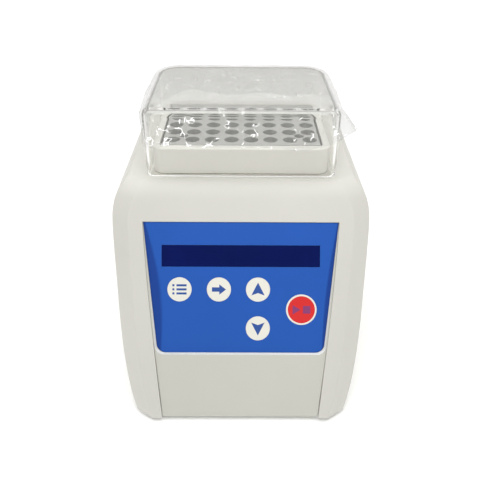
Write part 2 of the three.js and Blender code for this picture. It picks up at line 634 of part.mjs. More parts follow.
const neckBottom = CHASSIS.z - 4;
const motorBody = cut(
  join(
    rod(MOTOR.body, [MOTOR.bodyZ, neckBottom], 0, CRANK_Y, 32),
    rod(MOTOR.cap, [MOTOR.capZ, MOTOR.bodyZ + EPS], 0, CRANK_Y, 32),
    rod(MOTOR.neck, [neckBottom - EPS, CHASSIS.z - GAP], 0, CRANK_Y, 32),
  ),
  rod(MOTOR.bore, [CRANK.bottom - EPS, CHASSIS.z + EPS], 0, CRANK_Y, 16),
);
addPiece('motor_body', motorBody, DARK_PLASTIC());

function chassisPlate() {
  const z = [CHASSIS.z, CHASSIS.z + CHASSIS.thick];
  let solid = box(around(0, CHASSIS.half), around(CRANK_Y, CHASSIS.reach), z);
  solid = cut(solid, rod(CHASSIS.shaftHole, past(z), 0, CRANK_Y));
  atCorners(IDLER.x, IDLER.y, CRANK_Y, (x, y) => {
    solid = cut(solid, rod(IDLER.journal + 2 * SKIN, past(z), x, y, 16));
  });
  return solid;
}
addPiece('chassis_plate', chassisPlate(), STEEL());

atCorners(STANDOFF.x, STANDOFF.y, CRANK_Y, (x, y, number) => {
  const post = rod(STANDOFF.radius, [PAN.thick + GAP, CHASSIS.z - GAP], x, y, STANDOFF.sides);
  addPiece(`standoff_${number}`, post, STEEL());
});

atCorners(IDLER.x, IDLER.y, CRANK_Y, (x, y, number) => {
  const top = CRANK.z + IDLER.discThick;
  const idler = join(
    rod(IDLER.journal, [IDLER.bottom, CRANK.z + EPS], x, y, 16),
    rod(IDLER.disc, [CRANK.z, top], x, y, 16),
    rod(IDLER.pin, [top - EPS, PLATFORM.z + EPS], x, y + ORBIT, 16),
  );
  addPiece(`idler_crank_${number}`, idler, STEEL());
});

// ---- Power board ----
const POWER_BOARD = { half: 56, y: [48, 104], z: [9, 10.6], post: 3, postX: 51, postY: [52, 100] };
const BOARD_PARTS = [
  { x: [-48, -18], y: [56, 88], height: 30 },
  { x: [-8, 12], y: [58, 74], height: 18 },
  { x: [20, 48], y: [56, 72], height: 22 },
  { x: [-6, 40], y: [82, 94], height: 14 },
];
function powerBoard() {
  const [bottom, top] = POWER_BOARD.z;
  let solid = box(around(0, POWER_BOARD.half), POWER_BOARD.y, POWER_BOARD.z);
  for (const { x, y, height } of BOARD_PARTS) solid = join(solid, box(x, y, [bottom + EPS, top + height]));
  for (const x of [-POWER_BOARD.postX, POWER_BOARD.postX]) {
    for (const y of POWER_BOARD.postY) {
      solid = join(solid, rod(POWER_BOARD.post, [PAN.thick + GAP, bottom + EPS / 2], x, y, 12));
    }
  }
  return solid;
}
addPiece('power_board', powerBoard(), BOARD_GREEN());

// ---- Rear panel, fan, switch and mains inlet ----
function rearPanel() {
  const through = past(REAR_PLATE.y);
  let solid = box(around(0, REAR_PLATE.half), REAR_PLATE.y, [REAR_PLATE.low, REAR_PLATE.high]);
  for (let i = 0; i < GRILLE.slots; i += 1) {
    const rise = (i - (GRILLE.slots - 1) / 2) * GRILLE.pitch;
    const half = Math.sqrt(GRILLE.radius ** 2 - rise ** 2);
    solid = cut(solid, box(around(FAN.x, half), through, around(REAR_Z + rise, GRILLE.slotHalf)));
  }
  solid = cut(
    solid,
    box(around(INLET.x, INLET.width / 2 + GAP), through, [INLET.low - GAP, INLET.high + GAP]),
    box(around(SWITCH.x, SWITCH.width / 2 + GAP), through, around(REAR_Z, SWITCH.height / 2 + GAP)),
  );
  for (const x of [-REAR_SCREW.x, REAR_SCREW.x]) {
    for (const z of [REAR_SCREW.low, REAR_SCREW.high]) {
      solid = cut(solid, rodAlongY(REAR_SCREW.hole, through, x, z, 12));
    }
  }
  return solid;
}
addPiece('rear_panel', rearPanel(), finish('#b9bab6', 0.4, 0.6));

const REAR_SCREW_HEAD = { radius: 2.4, thick: 1.2, shank: 1.4, reach: 6 };
const rearScrewCentreZ = (REAR_SCREW.low + REAR_SCREW.high) / 2;
atCorners(REAR_SCREW.x, REAR_SCREW.high - rearScrewCentreZ, rearScrewCentreZ, (x, z, number) => {
  const { radius, thick, shank, reach } = REAR_SCREW_HEAD;
  const headY = BODY_DEPTH - REAR_SCREW.sink + 2 * SKIN;
  const screw = join(
    rodAlongY(radius, [headY, headY + thick], x, z, 16),
    rodAlongY(shank, [REAR_Y - reach, headY + thick / 2], x, z, 12),
  );
  addPiece(`rear_screw_${number}`, screw, STEEL());
});

// Mains inlet over a drawer for the fuse, with three blades through the floor of its socket
const OUTER_FACE_Y = REAR_FLANGE_Y[1];
const SOCKET_FLOOR_Y = OUTER_FACE_Y - SOCKET.depth;
const socketMiddle = (SOCKET.low + SOCKET.high) / 2;
const BLADES = [
  [INLET.x - BLADE.spread, socketMiddle - BLADE.drop],
  [INLET.x + BLADE.spread, socketMiddle - BLADE.drop],
  [INLET.x, socketMiddle + BLADE.raise],
];
function bladeBox(x, z, y, grow) {
  return box(around(x, BLADE.halfWidth + grow), y, around(z, BLADE.halfHeight + grow));
}

function powerInlet() {
  const { x, width, low, high, rim, back } = INLET;
  const half = width / 2;
  const drawerY = [OUTER_FACE_Y - DRAWER.depth - EPS, OUTER_FACE_Y + EPS];
  let solid = cut(
    join(
      box(around(x, half), [back, REAR_Y + EPS], [low, high]),
      box(around(x, half + rim), REAR_FLANGE_Y, [low - rim, high + rim]),
    ),
    box(around(x, SOCKET.half), [SOCKET_FLOOR_Y, OUTER_FACE_Y + EPS], [SOCKET.low, SOCKET.high]),
    box(around(x, DRAWER.half + GAP), drawerY, [DRAWER.low - GAP, DRAWER.high + GAP]),
  );
  for (const [bladeX, z] of BLADES) {
    solid = cut(solid, bladeBox(bladeX, z, [back - EPS, SOCKET_FLOOR_Y + EPS], GAP));
  }
  return solid;
}
addPiece('power_inlet', powerInlet(), DARK_PLASTIC());
BLADES.forEach(([x, z], i) => {
  const y = [INLET.back - BLADE.tail, OUTER_FACE_Y - BLADE.sunk];
  addPiece(`inlet_blade_${i + 1}`, bladeBox(x, z, y, 0), STEEL());
});

// An open-topped tray with a finger slot in its face
const DRAWER_FACE = 3;
const FINGER_SLOT = { half: 4, z: [2, 4], depth: 1.2 };
const drawerBack = OUTER_FACE_Y - DRAWER.depth;
const fuseDrawer = cut(
  box(around(INLET.x, DRAWER.half), [drawerBack, OUTER_FACE_Y], [DRAWER.low, DRAWER.high]),
  box(around(INLET.x, DRAWER.half - DRAWER.wall), [drawerBack + DRAWER.wall, OUTER_FACE_Y - DRAWER_FACE],
    [DRAWER.low + DRAWER.wall, DRAWER.high + EPS]),
  box(around(INLET.x, FINGER_SLOT.half), [OUTER_FACE_Y - FINGER_SLOT.depth, OUTER_FACE_Y + EPS],
    FINGER_SLOT.z.map((rise) => DRAWER.low + rise)),
);
addPiece('fuse_drawer', fuseDrawer, DARK_PLASTIC());

function switchFrame() {
  const { x, width, height, rim, wall, back, floor } = SWITCH;
  const shell = join(
    box(around(x, width / 2), [back, REAR_Y + EPS], around(REAR_Z, height / 2)),
    box(around(x, width / 2 + rim), REAR_FLANGE_Y, around(REAR_Z, height / 2 + rim)),
  );
  const room = [floor, OUTER_FACE_Y + EPS];
  return cut(shell, box(around(x, width / 2 - wall), room, around(REAR_Z, height / 2 - wall)));
}
addPiece('switch_frame', switchFrame(), DARK_PLASTIC());

// The rocker: a shallow V towards the back, standing with its lower half pressed in
function rocker() {
  const { half, reach, tilt, pivotY, back, valley, ridge } = ROCKER;
  const profile = polygon([[-reach, back], [reach, back], [reach, ridge], [0, valley], [-reach, ridge]]);
  const geometry = new THREE.ExtrudeGeometry(profile, { depth: 2 * half, bevelEnabled: false });
  geometry.translate(0, 0, -half);
  geometry.rotateY(Math.PI / 2); // length along -Z, thickness along +Y, pivot axis along X
  geometry.rotateX(-tilt);
  return toSolid(geometry.translate(SWITCH.x, pivotY, REAR_Z));
}
addPiece('power_rocker', rocker(), finish('#1c1d1f', 0.35));

const FAN_Y = [REAR_PLATE.y[0] - GAP - FAN.depth, REAR_PLATE.y[0] - GAP];
const STRUT = { length: 12.5, thick: 1.5, width: 2.4, middle: 13, angles: [0.5, 2.6, 4.7] };
function fanFrame() {
  const [front] = FAN_Y;
  let solid = box(around(FAN.x, FAN.size / 2), FAN_Y, around(REAR_Z, FAN.size / 2));
  solid = cut(solid, rodAlongY(FAN.bore, past(FAN_Y), FAN.x, REAR_Z, 32));
  solid = join(solid, rodAlongY(FAN.hub, [front, front + STRUT.thick], FAN.x, REAR_Z));
  for (const angle of STRUT.angles) {
    const strut = new THREE.BoxGeometry(STRUT.length, STRUT.thick, STRUT.width);
    strut.translate(STRUT.middle, 0, 0).rotateY(angle).translate(FAN.x, front + STRUT.thick / 2, REAR_Z);
    solid = join(solid, toSolid(strut));
  }
  return solid;
}
addPiece('fan_frame', fanFrame(), DARK_PLASTIC());

const ROTOR = { front: 2.2, back: 1.2, blade: [10.5, 1, 7], pitch: 0.9, middle: 12.4 };
function fanRotor() {
  const y = [FAN_Y[0] + ROTOR.front, FAN_Y[1] - ROTOR.back];
  let solid = rodAlongY(FAN.hub, y, FAN.x, REAR_Z);
  for (let i = 0; i < FAN.blades; i += 1) {
    const blade = new THREE.BoxGeometry(...ROTOR.blade).rotateX(ROTOR.pitch).translate(ROTOR.middle, 0, 0);
    blade.rotateY(i * 2 * Math.PI / FAN.blades).translate(FAN.x, (y[0] + y[1]) / 2, REAR_Z);
    solid = join(solid, toSolid(blade));
  }
  return solid;
}
addPiece('fan_rotor', fanRotor(), finish('#1f2022', 0.5));

export default object;
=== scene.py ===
import math

import bmesh
import bpy
from mathutils import Matrix, Vector, noise
from mathutils.geometry import interpolate_bezier


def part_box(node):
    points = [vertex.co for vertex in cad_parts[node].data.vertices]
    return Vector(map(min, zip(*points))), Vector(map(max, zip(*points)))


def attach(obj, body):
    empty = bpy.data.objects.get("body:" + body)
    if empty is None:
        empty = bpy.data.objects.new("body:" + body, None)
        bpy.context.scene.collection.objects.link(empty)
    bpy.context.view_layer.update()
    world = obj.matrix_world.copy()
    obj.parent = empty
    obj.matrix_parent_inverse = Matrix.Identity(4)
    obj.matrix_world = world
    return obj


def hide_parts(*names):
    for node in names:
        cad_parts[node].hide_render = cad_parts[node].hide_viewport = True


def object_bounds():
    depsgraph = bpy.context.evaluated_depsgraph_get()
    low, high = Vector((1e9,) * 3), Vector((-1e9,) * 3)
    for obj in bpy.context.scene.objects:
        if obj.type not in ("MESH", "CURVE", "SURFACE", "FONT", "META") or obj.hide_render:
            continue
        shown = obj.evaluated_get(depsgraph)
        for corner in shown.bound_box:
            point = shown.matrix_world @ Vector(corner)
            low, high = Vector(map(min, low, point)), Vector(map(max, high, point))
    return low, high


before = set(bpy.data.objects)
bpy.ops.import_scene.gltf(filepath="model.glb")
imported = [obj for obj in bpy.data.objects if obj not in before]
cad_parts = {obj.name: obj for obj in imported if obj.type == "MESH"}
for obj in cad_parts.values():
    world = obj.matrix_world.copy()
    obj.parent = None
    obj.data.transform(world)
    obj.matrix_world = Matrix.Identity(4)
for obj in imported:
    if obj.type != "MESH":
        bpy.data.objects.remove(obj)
cad_low, cad_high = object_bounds()

MM = 0.001
SCENE = bpy.context.scene

# ---- Places taken from the frame ----
body_low, body_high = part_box("upper_housing")
lid_low, lid_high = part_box("lid")
block_low, block_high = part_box("tube_block")
surround_low, surround_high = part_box("block_surround")
window_low, window_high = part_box("lcd_window")
FRONT = body_low.y  # the body's bottom front edge
BACK = body_high.y
UNDER = body_low.z  # the body's underside
DECK = body_high.z
FLOOR = cad_low.z
BLOCK_Y = (block_low.y + block_high.y) / 2

# ---- Camera ----
SENSOR = 36  # millimetres, as the lens
LENS = 41.3115
CAMERA_RISE = 0.332  # above the body's underside
CAMERA_AHEAD = 0.271  # in front of the body's bottom front edge
CAMERA_PITCH = math.radians(33.5)
CAMERA_YAW = math.radians(-0.38)
CAMERA_ROLL = math.radians(0.45)

camera_data = bpy.data.cameras.new("camera")
camera_data.sensor_width = SENSOR
camera_data.lens = LENS
camera_data.clip_start = 0.01
camera = bpy.data.objects.new("camera", camera_data)
SCENE.collection.objects.link(camera)
camera.location = (0, FRONT - CAMERA_AHEAD, UNDER + CAMERA_RISE)
aim = Matrix.Rotation(CAMERA_YAW, 3, "Z") @ Matrix.Rotation(math.pi / 2 - CAMERA_PITCH, 3, "X")
camera.rotation_euler = (aim @ Matrix.Rotation(CAMERA_ROLL, 3, "Z")).to_euler()
SCENE.camera = camera

# ---- Mesh helpers ----
FLAT_FACE_WEIGHT = 60  # how far large faces win when normals are averaged


def new_object(name, mesh):
    obj = bpy.data.objects.new(name, mesh)
    SCENE.collection.objects.link(obj)
    return obj


def mesh_from(name, vertices, faces):
    mesh = bpy.data.meshes.new(name)
    mesh.from_pydata([tuple(v) for v in vertices], [], faces)
    mesh.update()
    return new_object(name, mesh)


def settle_normals(obj):
    work = bmesh.new()
    work.from_mesh(obj.data)
    bmesh.ops.recalc_face_normals(work, faces=work.faces)
    work.to_mesh(obj.data)
    work.free()


def move_mesh(obj, matrix):
    obj.data.transform(matrix)
    obj.data.update()
    return obj


def prism(name, outline, low, high):
    """A closed prism over an outline of (x, y) points, between two heights."""
    count = len(outline)
    vertices = [(x, y, low) for x, y in outline] + [(x, y, high) for x, y in outline]
    faces = [tuple(reversed(range(count))), tuple(range(count, 2 * count))]
    faces += [(i, (i + 1) % count, (i + 1) % count + count, i + count) for i in range(count)]
    obj = mesh_from(name, vertices, faces)
    settle_normals(obj)
    return obj


def loft(name, rings):
    """A closed skin through level rings with equal point counts, capped at both ends."""
    count = len(rings[0])
    vertices = [point for ring in rings for point in ring]
    faces = [tuple(reversed(range(count)))]
    faces.append(tuple(range(len(vertices) - count, len(vertices))))
    for level in range(len(rings) - 1):
        for i in range(count):
            a = level * count + i
            b = level * count + (i + 1) % count
            faces.append((a, b, b + count, a + count))
    obj = mesh_from(name, vertices, faces)
    settle_normals(obj)
    return obj


def turned(name, profile, sides=32, centre=(0, 0)):
    """A solid of revolution about a vertical axis, from (radius, height) points that start and end on it."""
    rings = [(r, z) for r, z in profile if r > 0]
    vertices = [(centre[0], centre[1], profile[0][1])]
    for r, z in rings:
        for i in range(sides):
            angle = 2 * math.pi * i / sides
            vertices.append((centre[0] + r * math.cos(angle), centre[1] + r * math.sin(angle), z))
    vertices.append((centre[0], centre[1], profile[-1][1]))
    last = len(vertices) - 1
    faces = []
    for i in range(sides):
        j = (i + 1) % sides
        faces.append((0, 1 + j, 1 + i))
        for level in range(len(rings) - 1):
            a = 1 + level * sides
            faces.append((a + i, a + j, a + sides + j, a + sides + i))
        top = 1 + (len(rings) - 1) * sides
        faces.append((top + i, top + j, last))
    obj = mesh_from(name, vertices, faces)
    settle_normals(obj)
    return obj


def apply_modifiers(obj):
    graph = bpy.context.evaluated_depsgraph_get()
    mesh = bpy.data.meshes.new_from_object(obj.evaluated_get(graph))
    obj.modifiers.clear()
    old = obj.data
    obj.data = mesh
    bpy.data.meshes.remove(old)


def combine(name, objects):
    """Joins separate solids into one object without merging them."""
    work = bmesh.new()
    for obj in objects:
        work.from_mesh(obj.data)
    mesh = bpy.data.meshes.new(name)
    work.to_mesh(mesh)
    work.free()
    for obj in objects:
        bpy.data.objects.remove(obj)
    return new_object(name, mesh)


def cut_out(obj, cutter):
    """Cuts one closed solid out of another."""
    modifier = obj.modifiers.new("cut", "BOOLEAN")
    modifier.operation = "DIFFERENCE"
    modifier.solver = "EXACT"
    modifier.object = cutter
    apply_modifiers(obj)
    bpy.data.objects.remove(cutter)
    return obj


def box_outline(x0, x1, y0, y1):
    return [(x0, y0), (x1, y0), (x1, y1), (x0, y1)]


def arc(cx, cy, radius, start, end, steps):
    angles = [math.radians(start + (end - start) * i / steps) for i in range(steps + 1)]
    return [(cx + radius * math.cos(a), cy + radius * math.sin(a)) for a in angles]


def rounded_outline(x0, x1, y0, y1, front_radius, back_radius, steps=8):
    points = arc(x1 - front_radius, y0 + front_radius, front_radius, -90, 0, steps)
    points += arc(x1 - back_radius, y1 - back_radius, back_radius, 0, 90, steps)
    points += arc(x0 + back_radius, y1 - back_radius, back_radius, 90, 180, steps)
    points += arc(x0 + front_radius, y0 + front_radius, front_radius, 180, 270, steps)
    return points


def bevel_sharp(obj, width, segments=3, least=30, weight_at=None):
    """Rounds edges sharper than a limit. weight_at gives each edge's share of the width from its middle."""
    work = bmesh.new()
    work.from_mesh(obj.data)
    layer = work.edges.layers.float.get("bevel_weight_edge")
    if layer is None:
        layer = work.edges.layers.float.new("bevel_weight_edge")
    for edge in work.edges:
        if len(edge.link_faces) == 2 and edge.calc_face_angle(0) > math.radians(least):
            middle = (edge.verts[0].co + edge.verts[1].co) / 2
            edge[layer] = weight_at(middle) if weight_at else 1.0
    work.to_mesh(obj.data)
    work.free()
    bevel = obj.modifiers.new("bevel", "BEVEL")
    bevel.limit_method = "WEIGHT"
    bevel.width = width
    bevel.segments = segments
    bevel.use_clamp_overlap = True
    bevel.harden_normals = True
    smooth(obj)


def smooth(obj, weighted=True):
    for polygon in obj.data.polygons:
        polygon.use_smooth = True
    if weighted:
        modifier = obj.modifiers.new("normals", "WEIGHTED_NORMAL")
        modifier.keep_sharp = True
        modifier.weight = FLAT_FACE_WEIGHT


def finish_piece(obj, material, body, slot, *nodes):
    obj.data.materials.clear()
    obj.data.materials.append(material)
    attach(obj, body)
    if nodes:
        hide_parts(*nodes)
    return obj


# ---- Materials ----


def linear(r, g, b):
    """Display colour, 0 to 255, as the linear colour that shaders take."""
    channel = lambda c: c / 12.92 if c <= 0.04045 else ((c + 0.055) / 1.055) ** 2.4
    return (channel(r / 255), channel(g / 255), channel(b / 255), 1)


def new_material(name):
    material = bpy.data.materials.new(name)
    material.use_nodes = True
    tree = material.node_tree
    return material, tree, tree.nodes["Principled BSDF"]


def noise_node(tree, scale, detail=3, stretch=(1, 1, 1)):
    coordinates = tree.nodes.new("ShaderNodeTexCoord")
    mapping = tree.nodes.new("ShaderNodeMapping")
    mapping.inputs["Scale"].default_value = stretch
    noise = tree.nodes.new("ShaderNodeTexNoise")
    noise.inputs["Scale"].default_value = scale
    noise.inputs["Detail"].default_value = detail
    tree.links.new(coordinates.outputs["Object"], mapping.inputs["Vector"])
    tree.links.new(mapping.outputs["Vector"], noise.inputs["Vector"])
    return noise


def ramp_node(tree, source, low, high, low_at=0.35, high_at=0.65):
    ramp = tree.nodes.new("ShaderNodeValToRGB")
    ramp.color_ramp.elements[0].position = low_at
    ramp.color_ramp.elements[0].color = low
    ramp.color_ramp.elements[1].position = high_at
    ramp.color_ramp.elements[1].color = high
    tree.links.new(source, ramp.inputs["Fac"])
    return ramp


def feed(tree, socket, value):
    """Links an output to a socket, or sets the socket to a constant."""
    if isinstance(value, bpy.types.NodeSocket):
        tree.links.new(value, socket)
    else:
        socket.default_value = value


def math_node(tree, operation, *values):
    node = tree.nodes.new("ShaderNodeMath")
    node.operation = operation
    for socket, value in zip(node.inputs, values):
        feed(tree, socket, value)
    return node.outputs["Value"]


def vector_node(tree, operation, *values):
    node = tree.nodes.new("ShaderNodeVectorMath")
    node.operation = operation
    for socket, value in zip(node.inputs, values):
        feed(tree, socket, value)
    return node


def grey(value):
    return (value, value, value, 1)


def shade(color, factor):
    return (*[min(1, c * factor) for c in color[:3]], 1)


def add_bump(tree, shader, height, strength, distance):
    bump = tree.nodes.new("ShaderNodeBump")
    bump.inputs["Strength"].default_value = strength
    bump.inputs["Distance"].default_value = distance
    tree.links.new(height, bump.inputs["Height"])
    tree.links.new(bump.outputs["Normal"], shader.inputs["Normal"])
    return bump


def surface(name, color, roughness, metallic=0, spread=0.03, rough_spread=0.06, grain=900,
            bump=0.08, depth=0.00003, patch=18, stretch=(1, 1, 1), coat=0, specular=0.5):
    """A moulded, painted or machined finish: broad colour drift, uneven gloss and a fine grain."""
    material, tree, shader = new_material(name)
    drift = noise_node(tree, patch, 4)
    tone = ramp_node(tree, drift.outputs["Fac"], shade(color, 1 - spread), shade(color, 1 + spread))
    tree.links.new(tone.outputs["Color"], shader.inputs["Base Color"])
    gloss = noise_node(tree, patch * 5, 5, stretch)
    low, high = max(0.02, roughness - rough_spread), min(1, roughness + rough_spread)
    rough = ramp_node(tree, gloss.outputs["Fac"], grey(low), grey(high))
    tree.links.new(rough.outputs["Color"], shader.inputs["Roughness"])
    fine = noise_node(tree, grain, 2, stretch)
    add_bump(tree, shader, fine.outputs["Fac"], bump, depth)
    shader.inputs["Metallic"].default_value = metallic
    shader.inputs["Coat Weight"].default_value = coat
    shader.inputs["Coat Roughness"].default_value = 0.12
    shader.inputs["Specular IOR Level"].default_value = specular
    return material


TRAPPED_BOUNCES = 4.5  # light caught inside a clear wall for longer goes straight out


def clear_plastic(name, tint, roughness, ior):
    """Clear plastic. Its shadow lets the light through, and so does a wall that has caught it."""
    material, tree, shader = new_material(name)
    shader.inputs["Base Color"].default_value = tint
    shader.inputs["Transmission Weight"].default_value = 1
    shader.inputs["IOR"].default_value = ior
    smear = noise_node(tree, 30, 4)
    rough = ramp_node(tree, smear.outputs["Fac"], grey(roughness), grey(roughness + 0.05), 0.45, 0.8)
    tree.links.new(rough.outputs["Color"], shader.inputs["Roughness"])
    transparent = tree.nodes.new("ShaderNodeBsdfTransparent")
    path = tree.nodes.new("ShaderNodeLightPath")
    deep = math_node(tree, "GREATER_THAN", path.outputs["Ray Depth"], TRAPPED_BOUNCES)
    either = math_node(tree, "MAXIMUM", path.outputs["Is Shadow Ray"], deep)
    mix = tree.nodes.new("ShaderNodeMixShader")
    output = tree.nodes["Material Output"]
    tree.links.new(either, mix.inputs["Fac"])
    tree.links.new(shader.outputs["BSDF"], mix.inputs[1])
    tree.links.new(transparent.outputs["BSDF"], mix.inputs[2])
    tree.links.new(mix.outputs["Shader"], output.inputs["Surface"])
    return material


WHITE = surface("housing_white", linear(214, 213, 206), 0.42, spread=0.012, grain=1400, bump=0.10)
# A darker, warmer copy of the housing's white: painted shade for the less-lit lower front
FASCIA_SHADED_WHITE = surface("fascia_shaded_white", linear(206, 206, 197), 0.42, spread=0.012, grain=1400, bump=0.10)
# A brighter white for the fascia's lip: a painted highlight
FASCIA_PAINTED_HIGHLIGHT = surface("fascia_painted_highlight", linear(230, 231, 228), 0.3, spread=0.012, grain=1400, bump=0.05)
# A brighter copy of the housing's white: painted light, for the light the clear lid keeps from the surround
SURROUND_PAINTED_LIGHT_WHITE = surface("surround_painted_light_white", linear(250, 249, 243), 0.4, spread=0.012, grain=1400,
                         bump=0.08)
BASE_GREY = surface("base_grey", linear(200, 199, 194), 0.55, grain=1100, bump=0.15)
BLUE = surface("keypad_blue", linear(40, 92, 183), 0.34, spread=0.02, grain=2600, bump=0.05, specular=0.2)
WINDOW_NAVY = surface("window_navy", linear(4, 20, 84), 0.08, spread=0.10, rough_spread=0.02, patch=26,
                      bump=0, specular=0.12)
KEY_WHITE = surface("key_white", linear(238, 236, 226), 0.36, spread=0.01, grain=2600, bump=0.05)
KEY_RED = surface("key_red", linear(222, 42, 42), 0.36, spread=0.02, grain=2600, bump=0.05)
ICON_BLUE = surface("icon_blue", linear(46, 84, 160), 0.4, grain=2600, bump=0.05)
ICON_PLUM = surface("icon_plum", linear(140, 60, 116), 0.4, grain=2600, bump=0.05)
ALUMINIUM = surface("block_aluminium", linear(211, 211, 209), 0.45, 0.6, spread=0.05, grain=700, bump=0.25,
                    depth=0.00004, stretch=(1, 14, 1))
MACHINED = surface("machined_aluminium", linear(190, 190, 188), 0.3, 1, spread=0.05, grain=500, bump=0.2,
                   stretch=(10, 1, 1))
STEEL = surface("zinc_steel", linear(176, 178, 180), 0.3, 1, spread=0.08, grain=600, bump=0.2)
BRASS = surface("brass", linear(190, 158, 92), 0.28, 1, spread=0.06, grain=500, bump=0.2, stretch=(1, 1, 8))
BLACK = surface("black_plastic", linear(34, 35, 38), 0.5, spread=0.08, grain=1500, bump=0.2)
ROCKER_BLACK = surface("rocker_black", linear(20, 21, 23), 0.25, spread=0.06, grain=1500, bump=0.05)
RUBBER = surface("foot_rubber", linear(38, 38, 38), 0.85, spread=0.12, grain=1200, bump=0.4)
REAR_PAINT = surface("rear_paint", linear(196, 198, 195), 0.4, spread=0.03, grain=1300, bump=0.2)
FOIL = surface("heater_foil", linear(186, 96, 48), 0.35, spread=0.15, patch=120, bump=0.1)
BOARD = surface("insulation_board", linear(222, 216, 200), 0.95, spread=0.06, grain=260, bump=0.6,
                depth=0.0002)
SOLDER_MASK = surface("circuit_board", linear(26, 92, 58), 0.35, spread=0.25, patch=300, bump=0.2, coat=0.3)
LID_CLEAR = clear_plastic("lid_clear", linear(244, 244, 242), 0.015, 1.4)

FILM_HAZE = 0.19  # how much of the film is seen face on
FILM_EDGE_HAZE = 0.34  # and edge on
CREASE_SCALE = 165
CREASE_WARP = (0.02, 0.02, 0.02)
ROOF_DEPTH = 4 * MM
ROOF_PAINTED_GLINT = 0.4  # how much of their painted glint the creases keep on the lid's roof
KNOT = (-47 * MM, lid_low.y, lid_high.z - 15 * MM)  # where the film is bunched up, at the front left, and the painted glints crowd
KNOT_REACH = (6 * MM, 18 * MM)


def film_creases(tree, place):
    """The distance from a warped web of creases."""
    bend = noise_node(tree, 60, 3)
    warp = vector_node(tree, "MULTIPLY_ADD", bend.outputs["Color"], CREASE_WARP, place)
    creases = tree.nodes.new("ShaderNodeTexVoronoi")
    creases.feature = "DISTANCE_TO_EDGE"
    creases.inputs["Scale"].default_value = CREASE_SCALE
    tree.links.new(warp.outputs["Vector"], creases.inputs["Vector"])
    return creases.outputs["Distance"]


def film_painted_glint(tree, place, distance):
    """Painted highlights along the creases: in patches, crowded at the knot and fainter on the lid's roof."""
    line = ramp_node(tree, distance, grey(1), grey(0), 0.02, 0.09)
    where = noise_node(tree, 130, 3)
    knot = vector_node(tree, "DISTANCE", place, KNOT)
    bunched = ramp_node(tree, knot.outputs["Value"], grey(0.13), grey(0), *KNOT_REACH)
    crowded = math_node(tree, "ADD", where.outputs["Fac"], bunched.outputs["Color"])
    patchy = ramp_node(tree, crowded, grey(0), grey(1), 0.57, 0.63)
    height = tree.nodes.new("ShaderNodeSeparateXYZ")
    tree.links.new(place, height.inputs["Vector"])
    flatness = tree.nodes.new("ShaderNodeMapRange")
    flatness.inputs["From Min"].default_value = lid_high.z - ROOF_DEPTH
    flatness.inputs["From Max"].default_value = lid_high.z
    flatness.inputs["To Min"].default_value = 1
    flatness.inputs["To Max"].default_value = ROOF_PAINTED_GLINT
    tree.links.new(height.outputs["Z"], flatness.inputs["Value"])
    sharp = math_node(tree, "MULTIPLY", line.outputs["Color"], patchy.outputs["Color"])
    return math_node(tree, "MULTIPLY", sharp, flatness.outputs["Result"])


def crinkled_film(name):
    """Thin clear wrapping: nearly invisible, with painted highlights that glow white along creases where it
    folds sharply.
    """
    material, tree, shader = new_material(name)
    shader.inputs["Roughness"].default_value = 0.16
    shader.inputs["Specular IOR Level"].default_value = 0.2
    # Emission makes the painted glints glow
    shader.inputs["Emission Strength"].default_value = 1
    place = tree.nodes.new("ShaderNodeTexCoord").outputs["Object"]
    distance = film_creases(tree, place)
    painted_glint = film_painted_glint(tree, place, distance)
    # White at the painted glints, grey film elsewhere
    tint = ramp_node(tree, painted_glint, linear(190, 190, 188), linear(255, 255, 255), 0.0, 0.5)
    tree.links.new(tint.outputs["Color"], shader.inputs["Base Color"])
    # The glow of the painted glints
    shine = ramp_node(tree, painted_glint, grey(0), grey(0.6), 0.2, 1.0)
    tree.links.new(shine.outputs["Color"], shader.inputs["Emission Color"])
    facing = tree.nodes.new("ShaderNodeLayerWeight")
    facing.inputs["Blend"].default_value = 0.25
    haze = ramp_node(tree, facing.outputs["Facing"], grey(FILM_HAZE), grey(FILM_EDGE_HAZE), 0.2, 0.9)
    most = math_node(tree, "MAXIMUM", haze.outputs["Color"], painted_glint)
    tree.links.new(most, shader.inputs["Alpha"])
    add_bump(tree, shader, distance, 0.9, 0.002)
    return material


FILM_CLEAR = crinkled_film("film_clear")

# ---- Housing ----
LEAN = math.radians(33.5)  # the front face's lean back from the vertical
DECK_RADIUS = 20 * MM  # front face into deck
BACK_RADIUS = 10 * MM  # back wall into deck
BACK_CORNER = 14 * MM
CHAMFER_X = 13 * MM
CHAMFER_Y = 9 * MM
WALL = 3 * MM
LOWER_RINGS_TOP = 108 * MM  # finer rings over the shoulder above this
LOWER_RINGS = 18
TURN_RINGS = 12
FACET_INNER_FILLET = 2.5 * MM
FACET_OUTER_FILLET = 3.5 * MM

# Half-width against height above the underside, as Bezier stretches of (half-width, height)
SIDE_STRETCHES = [
    ((77.0, 0), (84.0, 15), (88.7, 40), (91.6, 72)),
    ((91.6, 72), (93.2, 87), (95.2, 103), (95.9, 115)),
    ((95.9, 115), (96.6, 126.5), (93.4, 136.2), (85.0, 142)),
]


def bezier(stretch, steps):
    points = [Vector((x, y, 0)) for x, y in stretch]
    return interpolate_bezier(*points, steps)


side_points = [p * MM for stretch in SIDE_STRETCHES for p in bezier(stretch, 40)]


def half_width(z):
    for low, high in zip(side_points, side_points[1:]):
        if low.y <= z <= high.y and high.y > low.y:
            return low.x + (high.x - low.x) * (z - low.y) / (high.y - low.y)
    return side_points[-1].x if z > 0 else side_points[0].x


def fillet(corner, before, after, radius, steps):
    """Points of an arc that rounds one corner of an outline."""
    a = (before - corner).normalized()
    b = (after - corner).normalized()
    half = a.angle(b) / 2
    centre = corner + (a + b).normalized() * radius / math.sin(half)
    start = corner + a * radius / math.tan(half) - centre
    end = corner + b * radius / math.tan(half) - centre
    turn = start.angle(end)
    spun = []
    for i in range(steps + 1):
        t = i / steps
        spun.append(centre + (start * math.sin((1 - t) * turn) + end * math.sin(t * turn)) / math.sin(turn))
    return spun


